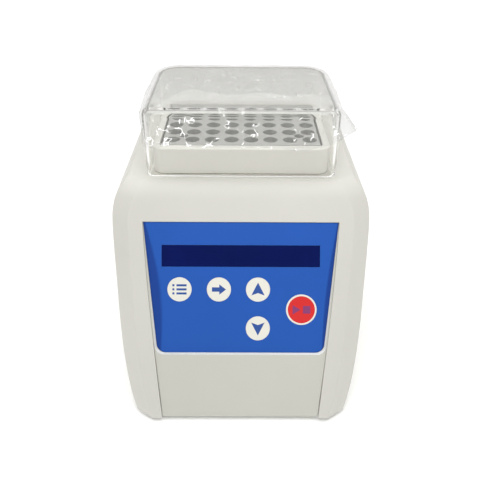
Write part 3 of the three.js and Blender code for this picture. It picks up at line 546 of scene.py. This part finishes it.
def housing_ring(z, front, width, inset):
    """One level of the housing: facetted front corners with soft edges, round back corners."""
    rise = min(max(z - (DECK - UNDER - BACK_RADIUS), 0), BACK_RADIUS - inset)
    back = BACK - FRONT - BACK_RADIUS + math.sqrt((BACK_RADIUS - inset) ** 2 - rise ** 2)
    corner = BACK_CORNER - inset
    facet_in = Vector((width - CHAMFER_X, front))
    facet_out = Vector((width, front + CHAMFER_Y))
    right = fillet(facet_in, Vector((0, front)), facet_out, FACET_INNER_FILLET, 4)
    right += fillet(facet_out, facet_in, Vector((width, back)), FACET_OUTER_FILLET, 6)
    right += [Vector(p) for p in arc(width - corner, back - corner, corner, 0, 90, 8)]
    left = [Vector((-p.x, p.y)) for p in reversed(right)]
    return [(p.x, FRONT + p.y, UNDER + z) for p in right + left]


def housing_skin(name, inset, bottom):
    height = DECK - UNDER
    arc_y = height * math.tan(LEAN) + DECK_RADIUS * math.tan((math.pi / 2 - LEAN) / 2)
    arc_z = height - DECK_RADIUS
    rings = []
    turn_z = arc_z + DECK_RADIUS * math.sin(LEAN)
    levels = [LOWER_RINGS_TOP * i / LOWER_RINGS for i in range(LOWER_RINGS)]
    levels += [LOWER_RINGS_TOP + (turn_z - LOWER_RINGS_TOP) * i / TURN_RINGS for i in range(TURN_RINGS)]
    for level in levels:
        z = level if level else bottom
        front = z * math.tan(LEAN) + inset / math.cos(LEAN)
        rings.append(housing_ring(z, front, half_width(level) - inset, inset))
    radius = DECK_RADIUS - inset
    for i in range(TURN_RINGS + 1):
        angle = LEAN + (math.pi / 2 - LEAN) * i / TURN_RINGS
        z = arc_z + radius * math.sin(angle)
        level = arc_z + DECK_RADIUS * math.sin(angle)
        front = arc_y - radius * math.cos(angle)
        rings.append(housing_ring(z, front, half_width(min(level, height)) - inset, inset))
    return loft(name, rings)


SLOPE = Matrix.Translation((0, FRONT, UNDER)) @ Matrix.Rotation(math.pi / 2 - LEAN, 4, "X")
PANEL_TOP = 143 * MM
PANEL_SINK = 0.3 * MM
PANEL_TILT = math.radians(1.65)
PANEL = SLOPE @ Matrix.Translation((0, PANEL_TOP, -PANEL_SINK)) @ Matrix.Rotation(PANEL_TILT, 4, "X")

OPENING_TOP = 143.3 * MM
OPENING_TAIL = 10 * MM  # the opening's outline reaches this far below the body
FOOT_REACH = 60 * MM  # the fascia's gaps widen below this
OPENING_SIDE = [(57.0, 0), (65.27, 63.53), (70.3, 111.3), (72.1, 143.3)]  # bowed half-width up the slope


def opening_outline(inset, foot_inset=0):
    """The front opening: a bowed trapezoid, carried on below the bottom edge, narrower still at its foot."""
    side = [p * MM for p in bezier(OPENING_SIDE, 24)]
    foot = [foot_inset * max(0, 1 - p.y / FOOT_REACH) for p in side]
    right = [(p.x - inset - more, min(p.y, OPENING_TOP - inset)) for p, more in zip(side, foot)]
    right.insert(0, (right[0][0], -OPENING_TAIL))
    return right + [(-x, y) for x, y in reversed(right)]


PAST = 2 * MM  # how far a cutter reaches past the face it cuts
FRONT_CUT = 9 * MM
DECK_MARGIN = 4 * MM  # the deck's opening round the block
REAR_LAP = 6 * MM  # how far the rear panel laps the wall behind its opening
SCREW_HEAD = (2.8 * MM, 1.7 * MM)  # radius and depth
SCREW_SHANK = (1.7 * MM, 5 * MM)
FRONT_ROUND = 1.1 * MM  # the rails' inner edges
FRONT_HALF = 74 * MM  # those edges lie within this half-width


def make_housing():
    outer = housing_skin("housing_shell", 0, 0)
    cut_out(outer, housing_skin("hollow", WALL, -PAST))
    opening = move_mesh(prism("opening", opening_outline(0), -FRONT_CUT, FRONT_CUT), SLOPE)
    cut_out(outer, opening)
    hole = rounded_outline(block_low.x - DECK_MARGIN, block_high.x + DECK_MARGIN, block_low.y - DECK_MARGIN,
                           block_high.y + DECK_MARGIN, DECK_MARGIN, DECK_MARGIN, 4)
    cut_out(outer, prism("deck_opening", hole, DECK - 2 * WALL, DECK + PAST))
    plate_low, plate_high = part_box("rear_panel")
    rear = box_outline(plate_low.x + REAR_LAP, plate_high.x - REAR_LAP, BACK - 2 * WALL, BACK + PAST)
    cut_out(outer, prism("rear_opening", rear, plate_low.z + REAR_LAP, plate_high.z - REAR_LAP))
    drills = []
    for number in range(1, 5):
        low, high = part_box(f"rear_screw_{number}")
        centre = (low + high) / 2
        for radius, depth in (SCREW_HEAD, SCREW_SHANK):
            drill = turned("drill", [(0, -depth), (radius, -depth), (radius, PAST), (0, PAST)], 24)
            stand = Matrix.Translation((centre.x, BACK, centre.z)) @ Matrix.Rotation(-math.pi / 2, 4, "X")
            drills.append(move_mesh(drill, stand))
    for drill in drills:
        cut_out(outer, drill)
    slope_back = SLOPE.inverted()

    def weight(middle):
        local = slope_back @ middle
        on_front = abs(local.z) < 0.5 * MM and abs(local.x) < FRONT_HALF and local.y < OPENING_TOP + MM
        return 1.0 if on_front else 0.4

    bevel_sharp(outer, FRONT_ROUND, 4, 32, weight)
    return finish_piece(outer, WHITE, "housing", "housing_plastic", "upper_housing")


# ---- Fascia, keypad, window and keys ----
PANEL_HEIGHT = 95.6 * MM
PANEL_TOP_HALF = 71.7 * MM
PANEL_BOTTOM_HALF = 61 * MM
PANEL_CORNER = 6.5 * MM
FASCIA_SINK = 1.2 * MM


def panel_outline(grow):
    """The keypad's outline: leaning sides, sharp top corners and round bottom corners."""
    top = Vector((PANEL_TOP_HALF + grow, grow))
    bottom = Vector((PANEL_BOTTOM_HALF + grow, -PANEL_HEIGHT - grow))
    right = fillet(bottom, Vector((0, bottom.y)), top, PANEL_CORNER, 8) + [top]
    return [(p.x, p.y) for p in right] + [(-p.x, p.y) for p in reversed(right)]


def local_centre(node, matrix):
    low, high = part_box(node)
    return matrix.inverted() @ ((low + high) / 2)


KEY_NODES = ("key_program", "key_right", "key_up", "key_down", "key_start_stop")
KEY_FACE = 0.2 * MM  # a key's face in front of the keypad's
KEY_SIDES = 64


def key_place(node):
    """A key's middle on the keypad and its radius. The top of its box is the top of the cap's rim."""
    corner_low, corner_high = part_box(node)
    up = PANEL.to_3x3() @ Vector((0, 1, 0))
    out = PANEL.to_3x3() @ Vector((0, 0, 1))
    radius = (corner_high.x - corner_low.x) / 2
    middle_z = corner_high.z - up.z * radius - out.z * KEY_FACE
    x = (corner_low.x + corner_high.x) / 2
    return Vector((x, (middle_z - PANEL.translation.z) / up.z)), radius


# The keypad's recess: straight beside the keypad, then opening out to a lip
RECESS_LEVELS = [(-3.2 * MM, 0.12 * MM), (0.1 * MM, 0.12 * MM), (8 * MM, 5 * MM)]
FASCIA_BACK = 7 * MM
FASCIA_GAP = 0.12 * MM
FASCIA_FOOT_GAP = 0.4 * MM
FASCIA_LIFT = 0.2 * MM  # its bottom edge above the underside
FLOOR_CUT = 50 * MM
RIM_DEPTH = 2.6 * MM  # the recess's rim lies within this depth, and within the margin below the keypad
RIM_MARGIN = 3 * MM
HIGHLIGHT_MARGIN = 4 * MM
HIGHLIGHT_FACING = (0.3, 0.95)  # the lip's faces turned this far towards the front get the painted highlight


def make_fascia():
    outline = opening_outline(FASCIA_GAP, FASCIA_FOOT_GAP)
    fascia = move_mesh(prism("fascia", outline, -FASCIA_BACK, -FASCIA_SINK), SLOPE)
    recess = loft("recess", [[(x, y, z) for x, y in panel_outline(grow)] for z, grow in RECESS_LEVELS])
    cut_out(fascia, move_mesh(recess, PANEL))
    ground = box_outline(body_low.x, body_high.x, FRONT - FLOOR_CUT, FRONT + FLOOR_CUT)
    cut_out(fascia, prism("floor_cut", ground, UNDER - FLOOR_CUT, UNDER + FASCIA_LIFT))
    panel_back = PANEL.inverted()

    def weight(middle):
        local = panel_back @ middle
        at_rim = local.z > -RIM_DEPTH and local.y > -PANEL_HEIGHT - RIM_MARGIN
        return 0.2 if middle.z < UNDER + MM or at_rim else 1.0

    bevel_sharp(fascia, 0.35 * MM, 2, 32, weight)
    # The fascia takes the shaded copy of the housing's white: painted shade
    finish_piece(fascia, FASCIA_SHADED_WHITE, "housing", "housing_plastic", "front_fascia")
    # The lip's faces that turn up towards the light take the brighter white: a painted highlight
    fascia.data.materials.append(FASCIA_PAINTED_HIGHLIGHT)
    for polygon in fascia.data.polygons:
        local = panel_back @ polygon.center
        toward = panel_back.to_3x3() @ polygon.normal
        faces_out = HIGHLIGHT_FACING[0] < toward.z < HIGHLIGHT_FACING[1]
        if faces_out and local.y > -PANEL_HEIGHT - HIGHLIGHT_MARGIN and local.z > -MM:
            polygon.material_index = 1
    return fascia


BAND_STEPS = 7
BAND_LEAST = 1.5 * MM  # the rolled-down side's width at the top and bottom
BAND_SWELL = 10 * MM  # and how much wider it is towards its middle
FULL_BAND = 8 * MM  # narrower than this, it rolls down less
CURL = 1.3 * MM
# Painted shade: the darker blue at the keypad's rolled-down sides
SIDE_SHADE_BLUE = linear(30, 70, 152)
LEFT_SHADE_BAND, RIGHT_SHADE_BAND = 8.3 * MM, 3.8 * MM  # how wide the painted shade's darker blue is at its widest
KEYPAD_THICK = 1.2 * MM
WINDOW_HALF_HEIGHT = 7.8 * MM
WINDOW_GAP = 0.15 * MM
KEY_GAP = 0.3 * MM
KEYPAD_CUT = 9 * MM


def paint_side_shade(material):
    """Painted shade: darker blue where the keypad's film rolls down at its sides, wider on the left."""
    tree = material.node_tree
    shader = tree.nodes["Principled BSDF"]
    flat_color = shader.inputs["Base Color"].links[0].from_socket
    coordinates = tree.nodes.new("ShaderNodeTexCoord")
    origin, up = PANEL.translation, PANEL.to_3x3() @ Vector((0, 1, 0))
    height = vector_node(tree, "DOT_PRODUCT", coordinates.outputs["Object"], up)
    down = math_node(tree, "SUBTRACT", origin.dot(up), height.outputs["Value"])
    share = math_node(tree, "DIVIDE", down, PANEL_HEIGHT)
    across = tree.nodes.new("ShaderNodeSeparateXYZ")
    tree.links.new(coordinates.outputs["Object"], across.inputs["Vector"])
    edge = math_node(tree, "MULTIPLY_ADD", share, PANEL_BOTTOM_HALF - PANEL_TOP_HALF, PANEL_TOP_HALF)
    inward = math_node(tree, "SUBTRACT", edge, math_node(tree, "ABSOLUTE", across.outputs["X"]))
    swell = math_node(tree, "SINE", math_node(tree, "MULTIPLY_ADD", share, 2.6, 0.2))
    on_right = math_node(tree, "GREATER_THAN", across.outputs["X"], 0)
    widest = math_node(tree, "MULTIPLY_ADD", on_right, RIGHT_SHADE_BAND - LEFT_SHADE_BAND, LEFT_SHADE_BAND)
    reach = math_node(tree, "DIVIDE", inward, math_node(tree, "MULTIPLY", swell, widest))
    # The mask of the painted shade, strongest at the keypad's side edges
    band = ramp_node(tree, reach, grey(1), grey(0), 0.7, 1.2)
    mix = tree.nodes.new("ShaderNodeMix")
    mix.data_type = "RGBA"
    tree.links.new(band.outputs["Color"], mix.inputs["Factor"])
    tree.links.new(flat_color, mix.inputs["A"])
    mix.inputs["B"].default_value = SIDE_SHADE_BLUE
    tree.links.new(mix.outputs["Result"], shader.inputs["Base Color"])


# Paints shade into the keypad blue along its sides
paint_side_shade(BLUE)


def rolled_rows(side):
    """Points across the keypad's right side, a row for each point of its edge, rolling down outwards."""
    rows = []
    for point in side:
        depth_share = min(max(-point.y / PANEL_HEIGHT, 0), 1)
        swell = math.sin(math.pi * min(1, depth_share * 1.15 + 0.08)) ** 0.8
        band = BAND_LEAST + BAND_SWELL * swell
        row = []
        for i in range(BAND_STEPS + 1):
            t = i / BAND_STEPS
            row.append((point.x - band * (1 - t), point.y, -CURL * min(1, band / FULL_BAND) * t ** 2))
        rows.append(row)
    return rows


def overlay_skin():
    """The keypad's closed skin: a flat middle, two rolled sides, the rim and the underside."""
    outline = panel_outline(0)
    rows = rolled_rows([Vector(p) for p in outline[:len(outline) // 2]])
    count = len(rows)
    width = BAND_STEPS + 1
    left = count * width  # where the left side's points begin
    vertices = []
    faces = []
    for side in (1, -1):
        start = len(vertices)
        for row in rows:
            vertices += [(side * x, y, z) for x, y, z in row]
        for r in range(count - 1):
            for i in range(BAND_STEPS):
                a = start + r * width + i
                quad = (a, a + 1, a + width + 1, a + width)
                faces.append(quad if side == 1 else tuple(reversed(quad)))
    inner_right = [r * width for r in range(count)]
    inner_left = [left + r * width for r in reversed(range(count))]
    faces.append(tuple(inner_right + inner_left))
    right_rim = [r * width + BAND_STEPS for r in range(count)]
    top_run = [(count - 1) * width + i for i in range(BAND_STEPS, -1, -1)]
    top_run += [left + (count - 1) * width + i for i in range(width)]
    left_rim = [left + r * width + BAND_STEPS for r in range(count - 1, -1, -1)]
    bottom_run = [left + i for i in range(BAND_STEPS, -1, -1)] + list(range(width))
    loop = right_rim[:-1] + top_run[:-1] + left_rim[:-1] + bottom_run[:-1]
    under = len(vertices)
    for index in loop:
        x, y, _ = vertices[index]
        vertices.append((x, y, -KEYPAD_THICK - CURL))
    size = len(loop)
    for i in range(size):
        j = (i + 1) % size
        faces.append((loop[j], loop[i], under + i, under + j))
    faces.append(tuple(reversed(range(under, under + size))))
    skin = mesh_from("keypad_film", vertices, faces)
    settle_normals(skin)
    return skin


def make_overlay():
    """The printed film, cut for the window and the keys."""
    overlay = overlay_skin()
    window = local_centre("lcd_window", PANEL)
    half = (window_high.x - window_low.x) / 2 + WINDOW_GAP
    tall = WINDOW_HALF_HEIGHT + WINDOW_GAP
    mouth = box_outline(-half, half, window.y - tall, window.y + tall)
    cutters = [prism("window_cut", mouth, -KEYPAD_CUT, KEYPAD_CUT)]
    for node in KEY_NODES:
        place, radius = key_place(node)
        hole = radius + KEY_GAP
        profile = [(0, -KEYPAD_CUT), (hole, -KEYPAD_CUT), (hole, KEYPAD_CUT), (0, KEYPAD_CUT)]
        cutters.append(turned("key_cut", profile, KEY_SIDES, place))
    for cutter in cutters:
        cut_out(overlay, cutter)
    move_mesh(overlay, PANEL)
    bevel_sharp(overlay, 0.15 * MM, 2, 40)
    return finish_piece(overlay, BLUE, "housing", "keypad_film", "control_overlay")


def make_window():
    centre = local_centre("lcd_window", PANEL)
    half = (window_high.x - window_low.x) / 2
    outline = box_outline(-half, half, centre.y - WINDOW_HALF_HEIGHT, centre.y + WINDOW_HALF_HEIGHT)
    pane = prism("window_pane", outline, -KEYPAD_THICK, -WINDOW_GAP)
    move_mesh(pane, PANEL)
    bevel_sharp(pane, 0.2 * MM, 2)
    return finish_piece(pane, WINDOW_NAVY, "housing", "display_window", "lcd_window")


PRINT_SUNK = 0.05 * MM
PRINT_RAISED = 0.03 * MM


def flat_icon(name, polygons, centre, top, material, body, slot):
    """Raised print on a key: closed polygons in millimetres round the key's centre."""
    parts = []
    for polygon in polygons:
        outline = [(centre.x + x * MM, centre.y + y * MM) for x, y in polygon]
        parts.append(prism("print", outline, top - PRINT_SUNK, top + PRINT_RAISED))
    icon = combine(name, parts)
    move_mesh(icon, PANEL)
    return finish_piece(icon, material, body, slot)


ARROW_RIGHT = [[(-5.1, -1.6), (0.3, -1.6), (0.3, -3.8), (5.2, 0), (0.3, 3.8), (0.3, 1.6), (-5.1, 1.6)]]
ARROW_UP = [[(0, 5.2), (-4.9, -4.3), (0, -2.5), (4.9, -4.3)]]
ARROW_DOWN = [[(x, -y) for x, y in reversed(ARROW_UP[0])]]
LIST_ICON = [box_outline(-5.2, -3.7, y - 0.75, y + 0.75) for y in (-3, 0, 3)]
LIST_ICON += [box_outline(-2.2, 5.2, y - 0.75, y + 0.75) for y in (-3, 0, 3)]
PLAY_STOP = [[(-6.4, 3.4), (-6.4, -3.4), (-0.6, 0)], box_outline(1.2, 6.6, -2.8, 2.8)]
KEY_ICONS = {"key_program": LIST_ICON, "key_right": ARROW_RIGHT, "key_up": ARROW_UP,
             "key_down": ARROW_DOWN, "key_start_stop": PLAY_STOP}

KEY_OVERLAP = 0.24 * MM  # the cap fills most of the gap in the keypad
KEY_TOP = 0.12 * MM
KEY_UNDER = -0.8 * MM
KEY_STEM = 2.4 * MM
KEY_STEM_END = -7.5 * MM
KEY_RING = 1.3 * MM  # the white ring round the red face
RED_RAISED = 0.04 * MM
CAP_ROUND = ((0, -0.18 * MM), (-0.06 * MM, -0.05 * MM), (-0.2 * MM, 0))  # its rim, from the edge and the top


def make_key(node):
    place, radius = key_place(node)
    r = radius + KEY_OVERLAP
    top = KEY_TOP
    profile = [(0, KEY_STEM_END), (KEY_STEM, KEY_STEM_END), (KEY_STEM, KEY_UNDER), (r, KEY_UNDER)]
    profile += [(r + x, top + z) for x, z in CAP_ROUND] + [(0, top)]
    cap = move_mesh(turned(f"{node}_cap", profile, KEY_SIDES, place), PANEL)
    smooth(cap)
    red = node == "key_start_stop"
    finish_piece(cap, KEY_WHITE, node, "key_red" if red else "key_white", node)
    if red:
        inner = r - KEY_RING
        face_z = top + RED_RAISED
        disc = [(0, top - 0.1 * MM), (inner, top - 0.1 * MM), (inner, top), (inner - 0.06 * MM, face_z),
                (0, face_z)]
        face = move_mesh(turned("key_start_stop_face", disc, KEY_SIDES, place), PANEL)
        smooth(face)
        finish_piece(face, KEY_RED, node, "key_red")
        top = face_z
    ink = ICON_PLUM if red else ICON_BLUE
    flat_icon(f"{node}_print", KEY_ICONS[node], place, top, ink, node, "key_red" if red else "key_white")


# ---- Surround, block and lid ----
SURROUND_FRONT, SURROUND_BACK = 9 * MM, 16 * MM  # corner radii
SURROUND_WALL = 3.5 * MM
SURROUND_ROUND = 1.8 * MM
RIM_BESIDE, RIM_AHEAD = 4 * MM, 5 * MM  # the outer top edge lies further from the block than this
MOUTH_CORNER = 3 * MM
# Room for the block, which stands at the back of its circle when at rest
MOUTH_SIDE, MOUTH_FRONT, MOUTH_BACK = 1.6 * MM, 2.6 * MM, 1.2 * MM


def make_surround():
    low, high = surround_low, surround_high
    outside = rounded_outline(low.x, high.x, low.y, high.y, SURROUND_FRONT, SURROUND_BACK)
    shell = prism("surround_shell", outside, low.z, high.z)
    wall = SURROUND_WALL
    inner = rounded_outline(low.x + wall, high.x - wall, low.y + wall, high.y - wall,
                            SURROUND_FRONT - wall, SURROUND_BACK - wall)
    cut_out(shell, prism("inside", inner, low.z - PAST, high.z - WALL))
    mouth = rounded_outline(block_low.x - MOUTH_SIDE, block_high.x + MOUTH_SIDE, block_low.y - MOUTH_FRONT,
                            block_high.y + MOUTH_BACK, MOUTH_CORNER, MOUTH_CORNER, 4)
    cut_out(shell, prism("mouth", mouth, low.z, high.z + PAST))

    def weight(middle):
        outer = abs(middle.x) > block_high.x + RIM_BESIDE or middle.y < block_low.y - RIM_AHEAD
        return 1.0 if middle.z > high.z - 0.2 * MM and outer else 0.3

    bevel_sharp(shell, SURROUND_ROUND, 4, 30, weight)
    # The surround takes the brightened white: painted light
    return finish_piece(shell, SURROUND_PAINTED_LIGHT_WHITE, "housing", "surround_plastic", "block_surround")


WELL_PITCH = 15 * MM
WELL_RADIUS = 5.4 * MM
WELL_DEPTH = 35 * MM
WELL_ROWS, WELL_COLUMNS = 5, 8
TAPER_FROM = 18 * MM  # below this the wells narrow, as the tubes do
TAPER = 0.6 * MM
WELL_FLOOR = 2 * MM
SCREW_WELL = (3.6 * MM, 10 * MM)  # radius and depth


def make_block():
    low, high = block_low, block_high
    block = prism("block_body", box_outline(low.x, high.x, low.y, high.y), low.z, high.z)
    wells = []
    top, foot, taper = high.z + PAST, high.z - WELL_DEPTH, high.z - TAPER_FROM
    profile = [(0, foot), (WELL_FLOOR, foot + TAPER), (WELL_RADIUS - TAPER, taper - 2 * MM),
               (WELL_RADIUS, taper), (WELL_RADIUS, top), (0, top)]
    for row in range(WELL_ROWS):
        for column in range(WELL_COLUMNS):
            x = (column - (WELL_COLUMNS - 1) / 2) * WELL_PITCH
            y = BLOCK_Y + (row - (WELL_ROWS - 1) / 2) * WELL_PITCH
            wells.append(turned("well", profile, 32, (x, y)))
    radius, depth = SCREW_WELL
    screw_profile = [(0, high.z - depth), (radius, high.z - depth), (radius, top), (0, top)]
    for number in range(1, 5):
        screw_low, screw_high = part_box(f"block_screw_{number}")
        centre = ((screw_low.x + screw_high.x) / 2, (screw_low.y + screw_high.y) / 2)
        wells.append(turned("counterbore", screw_profile, 32, centre))
    cut_out(block, combine("wells", wells))
    bevel_sharp(block, 0.45 * MM, 2, 40)
    return finish_piece(block, ALUMINIUM, "platform", "block_aluminium", "tube_block")


LID_WALL = 2.5 * MM
LID_EDGE = 6 * MM
LID_FRONT, LID_BACK = 7 * MM, 20 * MM  # corner radii
LEAST_CORNER = 0.8 * MM
LID_EDGE_RINGS = 8


def lid_outline(sink):
    """The lid's outline, drawn in by a distance."""
    front, back = max(LID_FRONT - sink, LEAST_CORNER), max(LID_BACK - sink, LEAST_CORNER)
    return rounded_outline(lid_low.x + sink, lid_high.x - sink, lid_low.y + sink, lid_high.y - sink,
                           front, back, 10)


def lid_skin(name, inset, bottom, top, edge):
    """The lid's closed outside or inside: straight walls and a rounded upper edge."""
    levels = [(bottom, 0)]
    for i in range(LID_EDGE_RINGS + 1):
        angle = math.pi / 2 * i / LID_EDGE_RINGS
        levels.append((top - edge + edge * math.sin(angle), edge * (1 - math.cos(angle))))
    return loft(name, [[(x, y, z) for x, y in lid_outline(inset + draw)] for z, draw in levels])


def make_lid():
    cover = lid_skin("lid_shell", 0, lid_low.z, lid_high.z, LID_EDGE)
    hollow = lid_skin("lid_hollow", LID_WALL, lid_low.z - PAST, lid_high.z - LID_WALL, LID_EDGE - LID_WALL)
    cut_out(cover, hollow)
    bevel_sharp(cover, 0.5 * MM, 3, 50)
    return finish_piece(cover, LID_CLEAR, "lid", "clear_lid", "lid")


FILM_POINTS = 150  # round the lid
FILM_HANG = 21 * MM  # below the roof's rounded edge, at most
FLAP_REACH = 12 * MM  # the loose corner that stands off the lid's right side
FLAP_FROM_FRONT = 9 * MM
FLAP_HALF_WIDTH = 3.5 * MM
FLAP_TOP, FLAP_TIP, FLAP_END = 2 * MM, 18 * MM, 27 * MM  # below the lid's top
SIDE_BULGE = 2.4 * MM
HEM_FROM = 12 * MM  # below this the hem's waves begin
BROAD_FOLDS, FINE_FOLDS, HEM_WAVES = 60, 190, 35  # waves in each metre
PUFF, BROAD_PUFF, FINE_PUFF = 0.5 * MM, 0.8 * MM, 0.7 * MM  # how far it stands off the lid
WALL_RINGS, EDGE_RINGS, ROOF_RINGS = 8, 5, 8
ROOF_STEP = 5.4 * MM
ROOF_LIFT = 1.2


def even_points(outline, count):
    """Evenly spaced points round a closed outline."""
    ends = [Vector(point) for point in outline]
    ends.append(ends[0])
    lengths = [(b - a).length for a, b in zip(ends, ends[1:])]
    step = sum(lengths) / count
    points = []
    index = 0
    passed = 0
    for i in range(count):
        while passed + lengths[index] < i * step:
            passed += lengths[index]
            index += 1
        points.append(ends[index].lerp(ends[index + 1], (i * step - passed) / lengths[index]))
    return points


def film_ring(sink, z, draw, lift):
    """One ring of the film: pushed off the lid unevenly, out from its sides and up from its roof."""
    points = even_points(lid_outline(sink), FILM_POINTS)
    ring = []
    for i, point in enumerate(points):
        along = (points[(i + 1) % FILM_POINTS] - points[i - 1]).normalized()
        out = Vector((along.y, -along.x))
        broad = 0.5 + 0.5 * noise.noise(Vector((point.x, point.y, z)) * BROAD_FOLDS)
        fine = 0.5 + 0.5 * noise.noise(Vector((point.x, point.y, z)) * FINE_FOLDS)
        puff = PUFF + BROAD_PUFF * broad + FINE_PUFF * fine
        back_share = (point.y - lid_low.y) / (lid_high.y - lid_low.y)
        side_bulge = SIDE_BULGE * max(0, math.sin(math.pi * back_share)) * abs(out.x)
        below = lid_high.z - z
        flap = 0
        if point.x > 0 and out.x > 0.5:
            near = math.exp(-((point.y - lid_low.y - FLAP_FROM_FRONT) / FLAP_HALF_WIDTH) ** 2)
            rise = min(max(below - FLAP_TOP, 0) / (FLAP_TIP - FLAP_TOP), 1)
            fall = min(max(below - FLAP_TIP, 0) / (FLAP_END - FLAP_TIP), 1)
            flap = FLAP_REACH * near * rise * (1 - fall)
        push = (puff + side_bulge) * draw + flap
        wave = noise.noise(Vector((point.x, point.y, 0)) * HEM_WAVES)
        hem = FILM_HANG * 0.25 * wave * max(0, below - HEM_FROM) / HEM_FROM
        ring.append((point.x + out.x * push, point.y + out.y * push, z + hem + puff * lift))
    return ring


def make_film():
    """Thin packing film over the lid's roof and the upper part of its sides."""
    rings = []
    top_edge = lid_high.z - LID_EDGE
    for i in range(WALL_RINGS):
        rings.append(film_ring(0, top_edge - FILM_HANG * (1 - i / WALL_RINGS), 1, 0))
    for i in range(EDGE_RINGS + 1):
        angle = math.pi / 2 * i / EDGE_RINGS
        sink = LID_EDGE * (1 - math.cos(angle))
        rings.append(film_ring(sink, top_edge + LID_EDGE * math.sin(angle), math.cos(angle), math.sin(angle)))
    for i in range(1, ROOF_RINGS + 1):
        rings.append(film_ring(LID_EDGE + ROOF_STEP * i, lid_high.z, 0, ROOF_LIFT))
    vertices = [point for ring in rings for point in ring]
    faces = [tuple(range(len(vertices) - FILM_POINTS, len(vertices)))]
    for level in range(len(rings) - 1):
        for i in range(FILM_POINTS):
            a = level * FILM_POINTS + i
            b = level * FILM_POINTS + (i + 1) % FILM_POINTS
            faces.append((a, b, b + FILM_POINTS, a + FILM_POINTS))
    film = mesh_from("packing_film", vertices, faces)
    smooth(film, weighted=False)
    finish_piece(film, FILM_CLEAR, "lid", "clear_lid")
    return film


make_housing()
make_fascia()
make_overlay()
make_window()
for key_node in KEY_NODES:
    make_key(key_node)
make_surround()
make_block()
make_lid()
make_film()

# ---- Carried-over CAD nodes ----
NODE_FINISH = {
    "base_pan": BASE_GREY, "lcd_module": BLACK, "control_board": SOLDER_MASK, "chassis_plate": STEEL,
    "motor_body": BLACK, "power_board": SOLDER_MASK, "rear_panel": REAR_PAINT, "power_inlet": BLACK,
    "switch_frame": BLACK, "fan_frame": BLACK, "fan_rotor": BLACK, "fuse_drawer": BLACK,
    "power_rocker": ROCKER_BLACK, "crank_shaft": STEEL, "counterweight": BRASS,
    "shaker_platform": MACHINED, "pin_bearing": STEEL, "insulation_slab": BOARD, "heater_mat": FOIL,
    "heater_plate": MACHINED, "temperature_probe": STEEL,
}
BLADES = 3
for number in range(1, BLADES + 1):
    NODE_FINISH[f"inlet_blade_{number}"] = STEEL
for number in range(1, 5):
    NODE_FINISH[f"standoff_{number}"] = STEEL
    NODE_FINISH[f"rear_screw_{number}"] = STEEL
    NODE_FINISH[f"foot_{number}"] = RUBBER
    NODE_FINISH[f"foot_screw_{number}"] = STEEL
    NODE_FINISH[f"block_screw_{number}"] = STEEL
    NODE_FINISH[f"idler_crank_{number}"] = STEEL

CAD_ROUND = 0.25 * MM
for node, material in NODE_FINISH.items():
    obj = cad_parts[node]
    obj.data.materials.clear()
    obj.data.materials.append(material)
    bevel = obj.modifiers.new("edge", "BEVEL")
    bevel.limit_method = "ANGLE"
    bevel.angle_limit = math.radians(40)
    bevel.width = CAD_ROUND
    bevel.segments = 2

# ---- Studio ----
stage_material = surface("stage_white", linear(252, 252, 252), 0.9, spread=0.004, bump=0)
stage_shader = stage_material.node_tree.nodes["Principled BSDF"]
stage_shader.inputs["Emission Color"].default_value = (1, 1, 1, 1)
stage_shader.inputs["Emission Strength"].default_value = 0.12
bpy.ops.mesh.primitive_plane_add(size=8, location=(0, 0, FLOOR))
floor = bpy.context.object
floor.name = "floor"
floor.data.materials.append(stage_material)


def area_light(name, place, target, size, power):
    data = bpy.data.lights.new(name, "AREA")
    data.shape = "RECTANGLE"
    data.size, data.size_y = size
    data.energy = power
    light = bpy.data.objects.new(name, data)
    SCENE.collection.objects.link(light)
    light.location = place
    light.rotation_euler = (Vector(target) - Vector(place)).to_track_quat("-Z", "Y").to_euler()
    return light


middle = Vector((0, BLOCK_Y, DECK / 2))
sun_data = bpy.data.lights.new("overhead", "SUN")
sun_data.energy = 1.72
sun_data.angle = math.radians(80)
sun = bpy.data.objects.new("overhead", sun_data)
SCENE.collection.objects.link(sun)
sun.rotation_euler = (math.radians(-22), math.radians(-8), 0)
sun.visible_transmission = False
area_light("softbox", (-0.5, -0.7, 1.3), middle, (0.9, 0.6), 1.6)
area_light("strip", (0.55, 0.1, 1.0), middle, (0.2, 0.8), 0.8)
lamp = area_light("near_lamp", (0.05, FRONT - 0.11, 0.38), (0, FRONT + 0.09, 0.13), (0.24, 0.12), 0.28)
lamp.visible_camera = False
lamp.visible_glossy = False
lamp.visible_transmission = False

world = bpy.data.worlds.new("world")
SCENE.world = world
world.use_nodes = True
sky_tree = world.node_tree
sky = sky_tree.nodes["Background"]
sky.inputs["Color"].default_value = (1, 0.99, 0.965, 1)
sky.inputs["Strength"].default_value = 0.48
backdrop = sky_tree.nodes.new("ShaderNodeBackground")
backdrop.inputs["Color"].default_value = (1, 1, 1, 1)
sky_path = sky_tree.nodes.new("ShaderNodeLightPath")
sky_mix = sky_tree.nodes.new("ShaderNodeMixShader")
sky_tree.links.new(sky_path.outputs["Is Camera Ray"], sky_mix.inputs["Fac"])
sky_tree.links.new(sky.outputs["Background"], sky_mix.inputs[1])
sky_tree.links.new(backdrop.outputs["Background"], sky_mix.inputs[2])
sky_tree.links.new(sky_mix.outputs["Shader"], sky_tree.nodes["World Output"].inputs["Surface"])
SCENE.view_settings.view_transform = "Standard"
